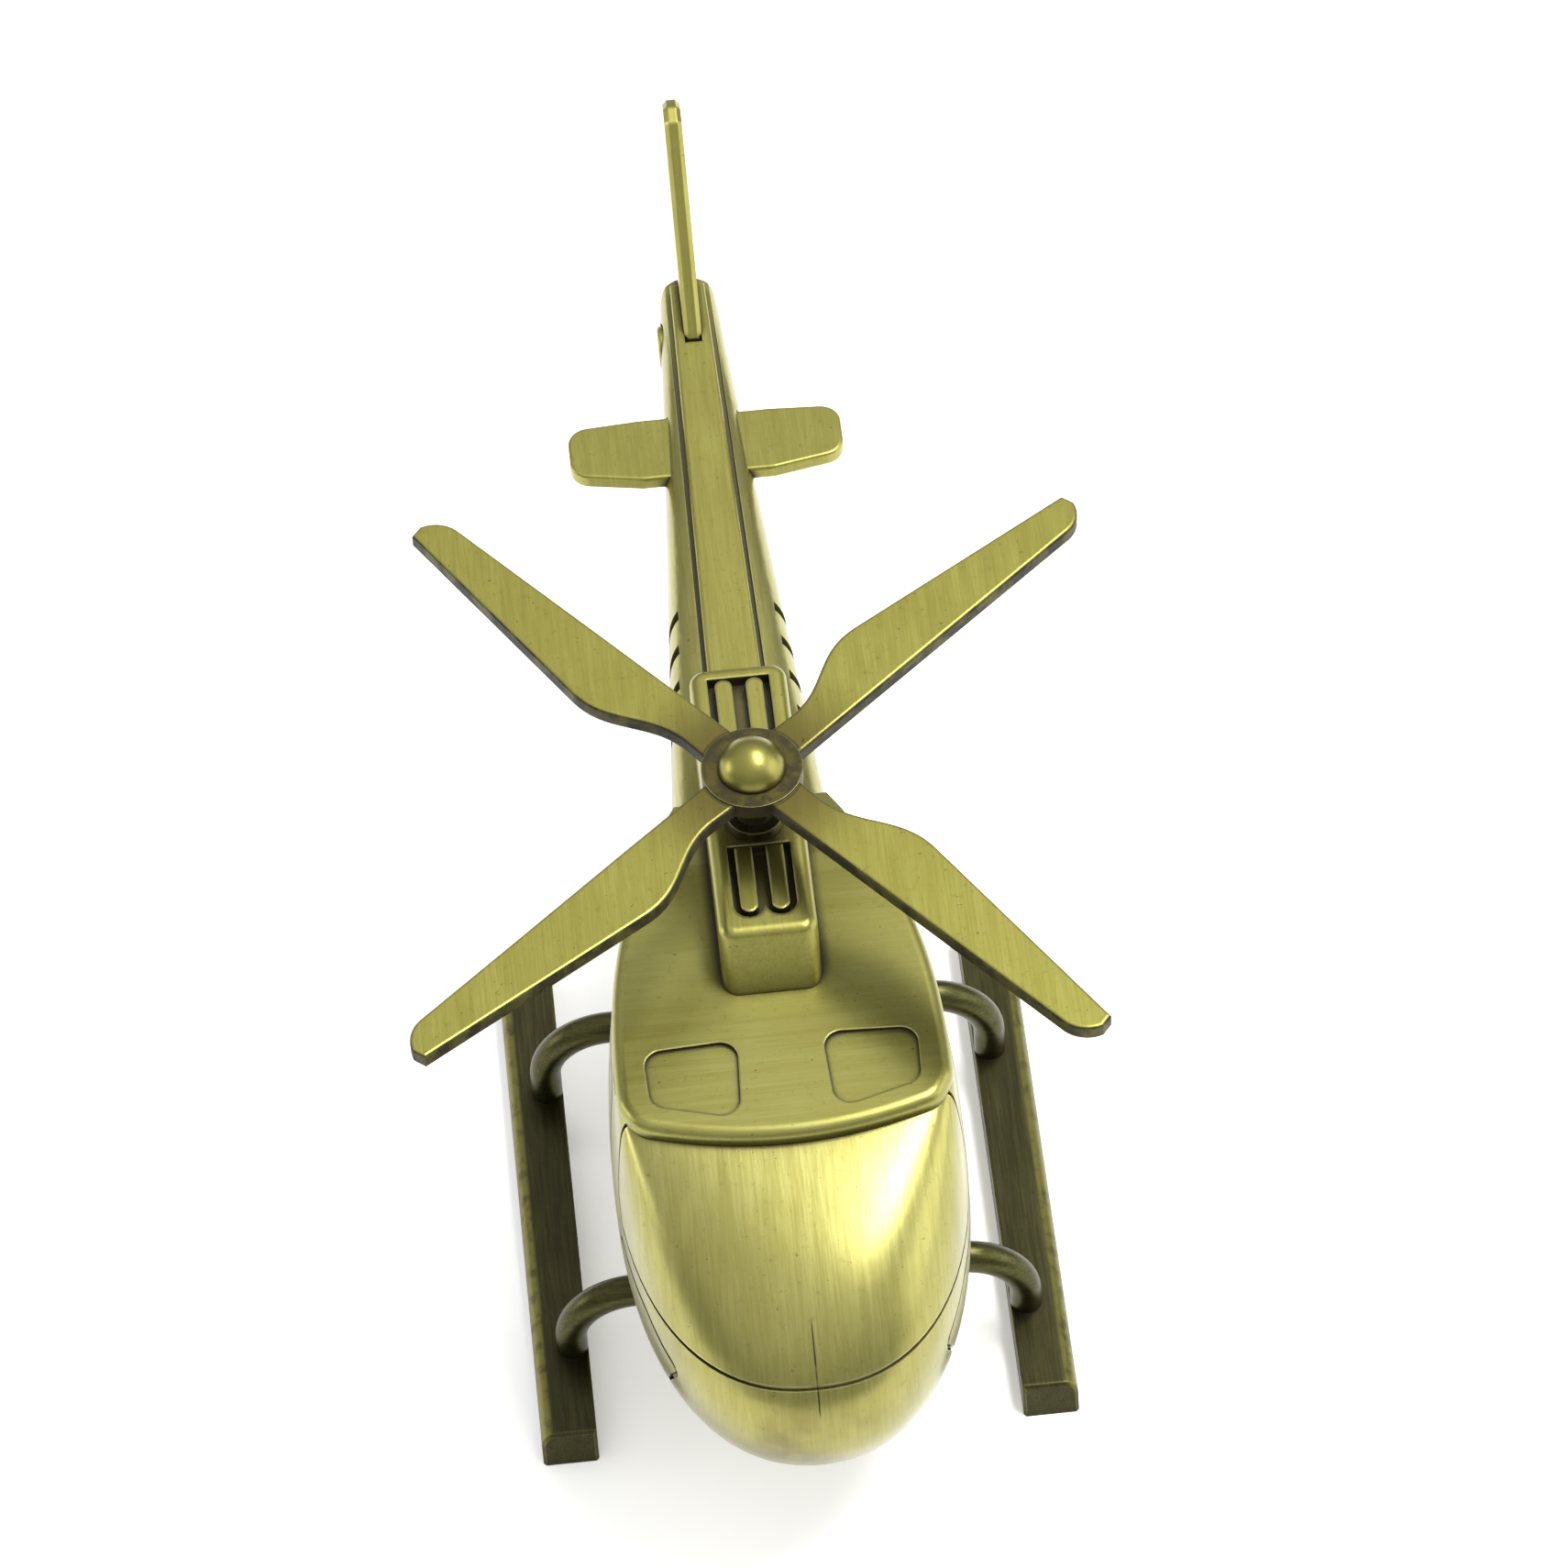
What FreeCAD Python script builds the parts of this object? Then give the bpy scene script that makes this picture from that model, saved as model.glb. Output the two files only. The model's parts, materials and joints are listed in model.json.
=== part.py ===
import FreeCAD, Part

import math
import os

import Sketcher
from FreeCAD import Matrix, Placement, Rotation, Vector

# Toy helicopter, die cast in an antique brass finish.
# Row frame: nose towards -Y, +Z up, +X the port side; Z = 0 is the ground under the skids and the
# origin is the middle of the whole helicopter's footprint box. Every sub-part is drawn in the mast
# frame, whose Z axis is the rotor's axis, and its Placement moves it back by mast_station.

# ---------------------------------------------------------------- driving dimensions (mm)
DIMENSIONS = [
    ("mast_station", -13.76, "Y of the rotor axis in the row frame"),
    ("rotor_radius", 40.4, "rotor axis to blade tip"),
    ("rotor_rest_angle", -7.9, "turn of the blades from the diagonals, degrees"),
    ("blade_thickness", 1.5, "blade plate"),
    ("blade_bump_chord", 5.4, "leading edge at the widest station, from the blade's centreline"),
    ("blade_tip_chord", 3.6, "leading edge at the tip, from the blade's centreline"),
    ("blade_root_trail", 1.75, "trailing edge behind the centreline at the hub"),
    ("rotor_top", 51.7, "top face of the rotor above the ground"),
    ("hub_radius", 4.35, "rotor hub disc"),
    ("hub_boss_radius", 2.4, "boss under the hub disc"),
    ("hub_step", 0.15, "how far the hub disc stands above the blades"),
    ("hub_boss_drop", 0.7, "how far the boss stands below the blades"),
    ("rivet_radius", 1.0, "shank the rotor turns on"),
    ("rotor_clearance", 0.07, "radial running clearance of the rotor on its rivet"),
    ("axial_play", 0.1, "gap above and below the hub"),
    ("dome_radius", 2.95, "rivet's domed head"),
    ("dome_height", 2.4, "rivet's domed head"),
    ("mast_radius", 1.7, "mast tube"),
    ("mast_foot", 33.5, "lower end of the mast tube"),
    ("collar_radius", 2.5, "collar at the mast's foot"),
    ("collar_height", 1.2, "collar at the mast's foot"),
    ("washer_thickness", 0.4, "thrust washer under the hub"),
    ("hull_half_width", 15.2, "cabin at its widest"),
    ("hull_wide_station", -23.0, "where the cabin is widest"),
    ("belly_height", 9.0, "underside of the cabin above the ground"),
    ("deck_height", 37.6, "top edge of the hull under the roof cover"),
    ("crease_height", 28.0, "crease between chin and windshield"),
    ("hull_tail_station", 7.2, "where the cabin's deck ends in the boom"),
    ("skin", 1.6, "wall of the hollow hull"),
    ("boom_skin", 1.1, "wall of the hollow boom"),
    ("boom_top", 38.0, "top of the boom"),
    ("boom_end_station", 70.0, "rounded end of the boom"),
    ("boom_root_half_width", 7.35, "boom where it leaves the cabin"),
    ("boom_tip_half_width", 2.55, "boom just before its rounded end"),
    ("roof_thickness", 1.5, "roof cover"),
    ("lip_station", -29.5, "front of the roof lip on the centreline"),
    ("lip_sweep", 2.4, "how far the lip curves back to its corners"),
    ("lip_half_width", 13.0, "roof lip from corner to corner, halved"),
    ("cowl_half_width", 4.25, "engine cowling"),
    ("cowl_height", 5.4, "engine cowling above the roof"),
    ("cowl_front", -14.6, "foot of the cowling's front face"),
    ("cowl_rear", 18.6, "foot of the cowling's rear face"),
    ("cowl_front_rake", 2.6, "how far the front face leans back"),
    ("rib_width", 1.5, "raised ribs in the cowling's pockets"),
    ("rib_spacing", 2.7, "between the two ribs of a pocket"),
    ("pocket_depth", 1.2, "cowling pockets"),
    ("skid_width", 4.9, "skid bar"),
    ("skid_height", 3.2, "skid bar"),
    ("skid_inner", 18.7, "inner face of a skid from the centreline"),
    ("skid_front", -34.2, "front end of a skid"),
    ("skid_rear", 19.4, "rear end of a skid"),
    ("skid_rake", 0.9, "how far a skid's ends lean in"),
    ("strut_radius", 1.4, "round struts"),
    ("strut_foot", 20.1, "strut foot from the centreline"),
    ("strut_bend", 6.0, "bend radius of a strut's centreline"),
    ("front_strut_height", 10.85, "level part of the front strut's centreline"),
    ("rear_strut_height", 11.95, "level part of the rear strut's centreline"),
    ("front_strut_station", -24.1, "front strut arch"),
    ("rear_strut_station", 3.9, "rear strut arch"),
    ("fin_thickness", 1.6, "tail fin"),
    ("fin_root_station", 61.0, "foot of the fin's leading edge"),
    ("fin_height", 16.0, "fin above the boom"),
    ("fin_sweep", 13.4, "how far the fin's top lies behind its foot"),
    ("tailplane_span", 12.45, "half span"),
    ("tailplane_top", 36.9, "top face"),
    ("tailplane_thickness", 1.5, "plate"),
]

doc = FreeCAD.newDocument("toy_helicopter")
sheet = doc.addObject("Spreadsheet::Sheet", "Dims")
for row, (alias, value, meaning) in enumerate(DIMENSIONS, start=1):
    sheet.set(f"A{row}", meaning)
    sheet.set(f"B{row}", str(value))
    sheet.setAlias(f"B{row}", alias)
doc.recompute()


def dim(alias):
    return float(sheet.get(alias))


# ---------------------------------------------------------------- helpers
SUBPARTS = []


def register(obj, label, base=(0.0, 0.0, 0.0), turn=0.0):
    """Name a sub-part and place it: base is in the mast frame, turn is about Z in degrees."""
    obj.Label = label
    obj.Placement = Placement(Vector(*base), Rotation(Vector(0, 0, 1), turn))
    obj.setExpression("Placement.Base.y", f"Dims.mast_station + ({base[1]})")
    SUBPARTS.append(obj)
    return obj


def feature(label, shape):
    """A sub-part whose shape is worked out directly in the mast frame."""
    obj = doc.addObject("Part::Feature", label)
    obj.Shape = shape
    return register(obj, label)


def body(name):
    return doc.addObject("PartDesign::Body", name)


def origin_plane(owner, role):
    return next(item for item in owner.Origin.OriginFeatures if item.Role == role)


def sketch(owner, name, role="XY_Plane", lift=None):
    """A sketch on one of the body's own origin planes, lifted along its normal by an expression."""
    item = owner.newObject("Sketcher::SketchObject", name)
    item.AttachmentSupport = [(origin_plane(owner, role), "")]
    item.MapMode = "FlatFace"
    if lift is not None:
        item.setExpression("AttachmentOffset.Base.z", lift)
    return item


def circle(item, radius, x=0.0, y=0.0):
    """A circle whose radius is bound to an expression."""
    index = item.addGeometry(Part.Circle(Vector(x, y, 0), Vector(0, 0, 1), 1.0), False)
    constraint = item.addConstraint(Sketcher.Constraint("Radius", index, 1.0))
    item.setExpression(f"Constraints[{constraint}]", radius)
    if x == 0.0 and y == 0.0:
        item.addConstraint(Sketcher.Constraint("Coincident", index, 3, -1, 1))
    else:
        item.addConstraint(Sketcher.Constraint("DistanceX", -1, 1, index, 3, x))
        item.addConstraint(Sketcher.Constraint("DistanceY", -1, 1, index, 3, y))
    return index


def outline(item, corners):
    """A closed polygon; every corner is a pair of expressions."""
    count = len(corners)
    angles = [math.tau * k / count for k in range(count)]
    rough = [Vector(math.cos(angle), math.sin(angle), 0) for angle in angles]
    for k in range(count):
        item.addGeometry(Part.LineSegment(rough[k], rough[(k + 1) % count]), False)
    for k in range(count):
        item.addConstraint(Sketcher.Constraint("Coincident", k, 2, (k + 1) % count, 1))
    for k, (x, y) in enumerate(corners):
        across = item.addConstraint(Sketcher.Constraint("DistanceX", -1, 1, k, 1, rough[k].x))
        along = item.addConstraint(Sketcher.Constraint("DistanceY", -1, 1, k, 1, rough[k].y))
        item.setExpression(f"Constraints[{across}]", x)
        item.setExpression(f"Constraints[{along}]", y)


def pad(owner, profile, length, both_ways=False, reverse=False):
    item = owner.newObject("PartDesign::Pad", profile.Name + "_pad")
    item.Profile = profile
    item.setExpression("Length", length)
    item.Midplane = both_ways
    item.Reversed = reverse
    return item


def pocket(owner, profile, length, reverse=False, both_ways=False):
    """Cut a profile; the cut must take material away."""
    doc.recompute()
    before = owner.Shape.Volume
    item = owner.newObject("PartDesign::Pocket", profile.Name + "_pocket")
    item.Profile = profile
    item.setExpression("Length", length)
    item.Reversed = reverse
    item.Midplane = both_ways
    doc.recompute()
    if owner.Shape.Volume > before - 1e-6:
        raise RuntimeError(f"{profile.Name} cuts nothing")
    return item


def dress(owner, kind, size, wanted):
    """Fillet or chamfer the edges of the tip for which wanted(edge) is true."""
    doc.recompute()
    base = owner.Tip
    names = [f"Edge{k}" for k, edge in enumerate(base.Shape.Edges, start=1) if wanted(edge)]
    if not names:
        raise RuntimeError(f"no edge to dress on {owner.Name}")
    item = owner.newObject(f"PartDesign::{kind}", f"{owner.Name}_{kind.lower()}")
    item.Base = (base, names)
    if kind == "Fillet":
        item.Radius = size
    else:
        item.Size = size
    doc.recompute()
    return item


def spans(edge, axis):
    """Whether an edge is straight and runs along one axis ('x', 'y' or 'z')."""
    start = edge.Vertexes[0].Point
    finish = edge.Vertexes[-1].Point
    run = finish - start
    along = abs(getattr(run, axis))
    return along > 1e-6 and abs(run.Length - along) < 1e-6


def disc(label, outer, bore, height, lift):
    """A flat ring: every argument is an expression."""
    owner = body(label)
    profile = sketch(owner, label + "_ring")
    circle(profile, outer)
    circle(profile, bore)
    pad(owner, profile, height)
    register(owner, label)
    owner.setExpression("Placement.Base.z", lift)
    return owner


def cylinder(radius, length, at, axis):
    return Part.makeCylinder(radius, length, Vector(*at), Vector(*axis))


def block(low, high):
    """A box between two corners."""
    size = [high[k] - low[k] for k in range(3)]
    return Part.makeBox(*size, Vector(*low))


def smooth_closed(points):
    curve = Part.BSplineCurve()
    curve.interpolate(Points=points, PeriodicFlag=True)
    return Part.Wire([curve.toShape()])


# ---------------------------------------------------------------- hull (cabin) and boom solids
NOSE_CENTRE = (-28.0, 22.5)        # Y and Z of the chin's ellipse
NOSE_REACH = 22.2                  # its half axis forwards
CHIN_DROP = 13.5                   # its half axis below the centre
CHIN_RISE = 14.0                   # its half axis above the centre
SHIELD_CENTRE = (-22.0, 22.0)      # Y and Z of the windshield's ellipse
SHIELD_REACH = 28.41
SHIELD_RISE = 16.1
WIDEST_HEIGHT = 24.0
BELLY_HALF_WIDTH = 8.5
DECK_TUCK = 0.9                    # how much narrower the deck is than the widest level
TAIL_CORNER = (5.2, 6.7)           # half widths of the hull's rear end, at the belly and at the deck
PLAN_FULLNESS = 2.3                # superellipse exponent of the nose in plan, from the crease up
CHIN_SLIMMING = 0.25               # how much the exponent has dropped at the belly
TAPER_POWER = 2.4                  # how late the cabin's sides turn in towards the boom
TAIL_UNDERCUT = 2.3                # how much further back the hull ends below its deck
BELLY_TURN_UP = 1.3                # how far the belly's rear edge is drawn forward again


def ellipse_reach(offset, half_axis, reach):
    ratio = min(1.0, abs(offset) / half_axis)
    return reach * math.sqrt(1.0 - ratio * ratio)


def chin_front(height, skin):
    offset = height - NOSE_CENTRE[1]
    half_axis = (CHIN_DROP if offset < 0 else CHIN_RISE) - skin
    return NOSE_CENTRE[0] - ellipse_reach(offset, half_axis, NOSE_REACH - skin)


def shield_front(height, skin):
    offset = height - SHIELD_CENTRE[1]
    return SHIELD_CENTRE[0] - ellipse_reach(offset, SHIELD_RISE - skin, SHIELD_REACH - skin)


def hull_half_width(height, skin):
    wide = dim("hull_half_width")
    if height < WIDEST_HEIGHT:
        drop = (WIDEST_HEIGHT - height) / (WIDEST_HEIGHT - dim("belly_height"))
        return BELLY_HALF_WIDTH + (wide - BELLY_HALF_WIDTH) * math.sqrt(1.0 - drop * drop) - skin
    rise = (height - WIDEST_HEIGHT) / (dim("deck_height") - WIDEST_HEIGHT)
    return wide - DECK_TUCK * rise * rise - skin


def hull_tail(height, skin):
    below_deck = min(1.0, (dim("deck_height") - height) / 15.0)
    near_belly = max(0.0, 1.0 - (height - dim("belly_height")) / 5.0)
    return dim("hull_tail_station") + TAIL_UNDERCUT * below_deck - BELLY_TURN_UP * near_belly ** 1.6 - skin


def hull_section(height, skin, front):
    """Closed plan outline of the cabin at one height: rounded nose, sides that taper to the boom."""
    middle = dim("hull_wide_station")
    half = hull_half_width(height, skin)
    tail = hull_tail(height, skin)
    share = (height - dim("belly_height")) / (dim("deck_height") - dim("belly_height"))
    corner = TAIL_CORNER[0] + (TAIL_CORNER[1] - TAIL_CORNER[0]) * share - skin
    below = max(0.0, dim("crease_height") - height) / (dim("crease_height") - dim("belly_height"))
    power = 2.0 / (PLAN_FULLNESS - CHIN_SLIMMING * below)
    side = []
    for step in (1.0, 0.9, 0.75, 0.55, 0.35, 0.15):
        across = corner + (half - corner) * (1.0 - step ** TAPER_POWER)
        side.append((across, middle + (tail - middle) * step))
    quarter_steps = 7
    for k in range(quarter_steps):
        angle = 0.5 * math.pi * k / quarter_steps
        across = half * math.cos(angle) ** power
        ahead = (middle - front) * math.sin(angle) ** power
        side.append((across, middle - ahead))
    points = [Vector(x, y, height) for x, y in side]
    points.append(Vector(0, front, height))
    points += [Vector(-x, y, height) for x, y in reversed(side)]
    curve = Part.BSplineCurve()
    curve.interpolate(Points=points)
    closing = Part.LineSegment(points[-1], points[0])
    return Part.Wire([curve.toShape(), closing.toShape()])


def hull_solid(skin):
    """The cabin, drawn in by skin on every side but the deck."""
    floor = dim("belly_height") + skin
    crease = dim("crease_height")
    deck = dim("deck_height")
    meet = max(chin_front(crease, skin), shield_front(crease, skin))
    chin_levels = [floor, floor + 0.9, floor + 2.6, 16.5, 19.5, 22.5, 25.0, 26.8]
    chin = [hull_section(level, skin, chin_front(level, skin)) for level in chin_levels]
    chin.append(hull_section(crease, skin, meet))
    shield_levels = [30.0, 32.0, 34.0, 35.7, 36.8, deck]
    shield = [hull_section(crease, skin, meet)]
    shield += [hull_section(level, skin, shield_front(level, skin)) for level in shield_levels]
    return Part.makeLoft(chin, True).fuse(Part.makeLoft(shield, True))


BOOM_ROOT_STATION = 6.0
BOOM_FRONT = 2.0                   # where the boom starts, inside the hull
BOOM_ROOT_DEPTH = 10.4
KEEL_TOP = 36.4                    # the keel under the boom's root is buried in the boom up to here
KEEL_LEVELS = [(2.0, 12.8), (11.0, 19.6), (20.0, 25.6), (29.0, 30.4)]   # Y, height of its underside
KEEL_INSET = 0.35                  # its sides stand this far inside the boom's
BOOM_TIP_DEPTH = 6.6
BOOM_SQUARENESS = 3.0              # superellipse exponent of the boom's section
BOOM_TAPER_POWER = 0.85            # the boom narrows fastest near the cabin


def boom_half_size(station, skin):
    """Half width and half depth of the boom at a station."""
    share = max(0.0, station - BOOM_ROOT_STATION) / (dim("boom_end_station") - BOOM_ROOT_STATION)
    root = dim("boom_root_half_width")
    half_width = root + (dim("boom_tip_half_width") - root) * share ** BOOM_TAPER_POWER
    half_depth = 0.5 * (BOOM_ROOT_DEPTH + (BOOM_TIP_DEPTH - BOOM_ROOT_DEPTH) * share)
    return half_width - skin, half_depth - skin


def squarish_ring(station, centre, half_width, half_depth):
    """Closed superellipse round the boom's axis at a station."""
    points = []
    around = 20
    for k in range(around):
        angle = math.tau * (k + 0.5) / around
        across = math.copysign(abs(math.cos(angle)) ** (2.0 / BOOM_SQUARENESS), math.cos(angle))
        up = math.copysign(abs(math.sin(angle)) ** (2.0 / BOOM_SQUARENESS), math.sin(angle))
        points.append(Vector(half_width * across, station, centre + half_depth * up))
    return smooth_closed(points)


def boom_section(station, skin):
    half_width, half_depth = boom_half_size(station, skin)
    return squarish_ring(station, dim("boom_top") - half_depth - skin, half_width, half_depth)


def keel_solid(skin):
    """The fairing that carries the belly's line up to the boom."""
    rings = []
    for station, underside in KEEL_LEVELS:
        half_width = boom_half_size(station, skin)[0] - KEEL_INSET
        half_depth = 0.5 * (KEEL_TOP - underside) - skin
        rings.append(squarish_ring(station, 0.5 * (KEEL_TOP + underside), half_width, half_depth))
    return Part.makeLoft(rings, True)


def boom_solid(skin):
    """Tapering boom with its end rounded in plan."""
    end = dim("boom_end_station")
    stations = [BOOM_FRONT + (end - BOOM_FRONT) * k / 3 for k in range(4)]
    tube = Part.makeLoft([boom_section(station, skin) for station in stations], True)
    radius = boom_half_size(end, 0.0)[0] + 0.15
    wide = 12.0
    corners = [(wide, 0.0), (wide, end - radius - 0.5), (radius, end - radius)]
    port = [Vector(x, y, 0) for x, y in corners]
    starboard = [Vector(-x, y, 0) for x, y in corners]
    edges = [Part.LineSegment(starboard[0], port[0])]
    edges += [Part.LineSegment(port[k], port[k + 1]) for k in range(2)]
    edges.append(Part.Arc(port[2], Vector(0, end - skin, 0), starboard[2]))
    edges += [Part.LineSegment(starboard[k + 1], starboard[k]) for k in (1, 0)]
    plan = Part.Face(Part.Wire([edge.toShape() for edge in edges]))
    return tube.common(plan.extrude(Vector(0, 0, 60.0))).fuse(keel_solid(skin))


# ---------------------------------------------------------------- side windows, vents, screws
SHIELD_OUTLINE = [(-60.0, 28.1), (-29.4, 28.1), (-27.5, 30.0), (-25.1, 39.0), (-60.0, 39.0)]
SHIELD_GROOVE = 0.32
SHIELD_GROOVE_DEPTH = 0.25
WINDOW_OUTLINES = [                # Y and Z corners: door, chin and rear windows
    [(-20.8, 36.2), (-21.8, 25.6), (-9.6, 26.6), (-9.6, 36.2)],
    [(-36.6, 26.3), (-43.0, 24.6), (-38.6, 17.4), (-28.5, 16.6), (-28.5, 26.3)],
    [(-6.8, 36.2), (-6.8, 27.6), (0.2, 28.4), (4.6, 36.2)],
]
WINDOW_GROOVE = 0.45
WINDOW_CORNER = 1.1
GROOVE_DEPTH = 0.45
VENT_WIDTH = 1.0
VENT_LENGTH = 3.8
VENT_TILT = 25.0
VENT_DEPTH = 1.0
VENT_HEIGHT = 36.1
VENT_STATIONS = [29.6, 25.75, 21.85, 17.95]
SCREW_PLACES = [(-22.5, 18.6, 5.0), (-2.0, 21.0, 5.0), (44.0, 33.6, 2.6)]   # Y, Z, reach into port
SCREW_BOSS_RADIUS = 2.2
SCREW_HEAD_RADIUS = 1.4
SCREW_SHANK_RADIUS = 0.7
SCREW_HEAD_INNER = -1.8            # X of the head's inner face, starboard of the joint
SCREW_HEAD_HEIGHT = 1.2


def polygon_prism(corners, near, far):
    """A prism along X over Y, Z corners, from X = near to X = far."""
    points = [Vector(near, y, z) for y, z in corners]
    face = Part.Face(Part.makePolygon(points + points[:1]))
    return face.extrude(Vector(far - near, 0, 0))


def rounded_prism(corners, near, far, radius):
    prism = polygon_prism(corners, near, far)
    long_edges = [edge for edge in prism.Edges if spans(edge, "x")]
    return prism.makeFillet(radius, long_edges)


def shrunk(corners, margin):
    """Corners moved inwards by a margin, along the bisector of each corner."""
    moved = []
    count = len(corners)
    for k in range(count):
        here = Vector(*corners[k], 0)
        to_last = (Vector(*corners[k - 1], 0) - here).normalize()
        to_next = (Vector(*corners[(k + 1) % count], 0) - here).normalize()
        inward = (to_last + to_next).normalize()
        reach = margin / math.sin(0.5 * to_last.getAngle(to_next))
        moved.append((here.x + inward.x * reach, here.y + inward.y * reach))
    return moved


def outline_grooves(outlines, width):
    """Grooves along window outlines, right through from side to side."""
    grooves = []
    for corners in outlines:
        outer = rounded_prism(corners, -20.0, 20.0, WINDOW_CORNER)
        inner = rounded_prism(shrunk(corners, width), -21.0, 21.0, WINDOW_CORNER - width)
        grooves.append(outer.cut(inner))
    return Part.makeCompound(grooves)


def vent(station, side):
    """One slanted slot over the boom's upper edge, from its top down and forwards."""
    cutter = Part.makeBox(6.0, VENT_WIDTH, VENT_LENGTH, Vector(0, -0.5 * VENT_WIDTH, -0.5 * VENT_LENGTH))
    cutter.rotate(Vector(0, 0, 0), Vector(1, 0, 0), -VENT_TILT)
    inner = boom_half_size(station, 0.0)[0] - VENT_DEPTH
    start = inner if side > 0 else -inner - 6.0
    cutter.translate(Vector(start, station, VENT_HEIGHT))
    return cutter


STRUT_ENDS = ("front", "rear")


def strut_rod(end, radius):
    """The level part of the front or rear strut arch as a plain rod, for the notches it lies in."""
    foot = dim("strut_foot")
    bend = dim("strut_bend")
    station = dim(f"{end}_strut_station")
    level = dim(f"{end}_strut_height")
    return cylinder(radius, 2.0 * (foot - bend), (bend - foot, station, level), (1, 0, 0))


# ---------------------------------------------------------------- airframe shells
BELLY_OPENING = ((-4.55, -28.6), (4.55, 7.0))
ROOF_END = 7.25                    # the boom's top starts behind the roof cover
FIN_TENON = ((61.8, 34.6), (68.0, 38.6))      # Y, Z corners of the tenon inside the boom
FIN_PIN_PLACE = (65.0, 36.0)
FIN_PIN_RADIUS = 0.5
FIN_PIN_HALF = 2.4                 # half length of the pin
FIN_SEAT = 1.7                     # depth of the slot the fin's foot stands in
FIN_TIP_CHORD = 3.6
FIN_ROOT_CHORD = 9.6
TAILPLANE_SLOT = (46.3, 53.7)      # Y ends of the slot through the boom
TAILPLANE_ROOT = 6.0               # X where the plate starts to taper
TAILPLANE_TIP = (47.6, 53.2)       # Y ends of the plate's tip
TAIL_BOSS_PLACE = (64.2, 34.6)
TAIL_BOSS_FACE = -3.2              # X of the boss's outer face
TAIL_BOSS_RADIUS = 2.0
TAIL_BOSS_STEM = 0.6
SPINE_FRONT = 18.7
SPINE_REAR = 68.3
SPINE_ROOT_HALF = 2.45
SPINE_TIP_HALF = 1.6
SPINE_FLOOR = 37.4
SPINE_STAND = 0.55                 # how far the spine stands above the boom
SPINE_EDGE_ROUND = 0.35
GROOVE_BESIDE_SPINE = 0.4
PRESS_GAP = 0.02                   # drawn gap of pieces pressed or fitted together


def tapered_strip(front, rear, front_half, rear_half, low, high):
    """A flat strip along Y whose width tapers."""
    corners = [(-front_half, front), (front_half, front), (rear_half, rear), (-rear_half, rear)]
    points = [Vector(x, y, low) for x, y in corners]
    face = Part.Face(Part.makePolygon(points + points[:1]))
    return face.extrude(Vector(0, 0, high - low))


def tailplane_slot():
    top = dim("tailplane_top")
    front, rear = TAILPLANE_SLOT
    return block((-8.0, front, top - dim("tailplane_thickness")), (8.0, rear, top))


def airframe_shell():
    """Cabin and boom as one hollow skin, before it is parted into its two castings."""
    outer = hull_solid(0.0).fuse(boom_solid(0.0))
    inner = hull_solid(dim("skin")).fuse(boom_solid(dim("boom_skin")))
    shell = outer.cut(inner)
    shell = shell.cut(outline_grooves(WINDOW_OUTLINES, WINDOW_GROOVE).cut(hull_solid(GROOVE_DEPTH)))
    shell = shell.cut(outline_grooves([SHIELD_OUTLINE], SHIELD_GROOVE).cut(hull_solid(SHIELD_GROOVE_DEPTH)))

    bosses = []
    drills = []
    for y, z, reach in SCREW_PLACES:
        bosses.append(cylinder(SCREW_BOSS_RADIUS, 40.0, (-20.0, y, z), (1, 0, 0)))
        drills.append(cylinder(SCREW_HEAD_RADIUS + 0.1, 20.0, (SCREW_HEAD_INNER, y, z), (-1, 0, 0)))
        drills.append(cylinder(SCREW_SHANK_RADIUS, 5.0 + reach, (-5.0, y, z), (1, 0, 0)))
    mid_wall = hull_solid(0.5 * dim("skin")).fuse(boom_solid(0.5 * dim("boom_skin")))
    shell = shell.fuse([boss.common(mid_wall) for boss in bosses])
    shell = shell.cut(drills)

    cuts = [vent(station, side) for station in VENT_STATIONS for side in (-1, 1)]
    cuts.append(tailplane_slot())
    low, high = BELLY_OPENING
    floor = dim("belly_height")
    cuts.append(block((low[0], low[1], floor - 1.0), (high[0], high[1], floor + 2.0 * dim("skin"))))
    deck = dim("deck_height")
    cuts.append(block((-20.0, -60.0, deck), (20.0, ROOF_END, deck + 5.0)))
    cowl = dim("cowl_half_width")
    cuts.append(block((-cowl, ROOF_END - 1.0, COWL_SEAT), (cowl, dim("cowl_rear"), deck + 5.0)))
    for end in STRUT_ENDS:
        cuts.append(strut_rod(end, dim("strut_radius") + 0.05))
    cuts.append(tapered_strip(SPINE_FRONT - 0.4, SPINE_REAR + 3.0, SPINE_ROOT_HALF + GROOVE_BESIDE_SPINE,
                              SPINE_TIP_HALF + GROOVE_BESIDE_SPINE, SPINE_FLOOR, dim("boom_top") + 1.0))
    tenon_low, tenon_high = FIN_TENON
    half = 0.5 * dim("fin_thickness")
    cuts.append(block((-half, tenon_low[0], tenon_low[1]), (half, tenon_high[0], tenon_high[1])))
    seat = dim("boom_top") - FIN_SEAT
    cuts.append(block((-half, dim("fin_root_station"), seat), (half, dim("boom_end_station") + 2.0, seat + 4.0)))
    pin_y, pin_z = FIN_PIN_PLACE
    cuts.append(cylinder(FIN_PIN_RADIUS, 2.0 * FIN_PIN_HALF, (-FIN_PIN_HALF, pin_y, pin_z), (1, 0, 0)))
    boss_y, boss_z = TAIL_BOSS_PLACE
    cuts.append(cylinder(TAIL_BOSS_STEM, 4.0, (-1.3, boss_y, boss_z), (-1, 0, 0)))
    cuts.append(cylinder(TAIL_BOSS_RADIUS + 0.25, 3.0, (TAIL_BOSS_FACE + 0.75, boss_y, boss_z), (-1, 0, 0)))
    return shell.cut(cuts)


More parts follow.
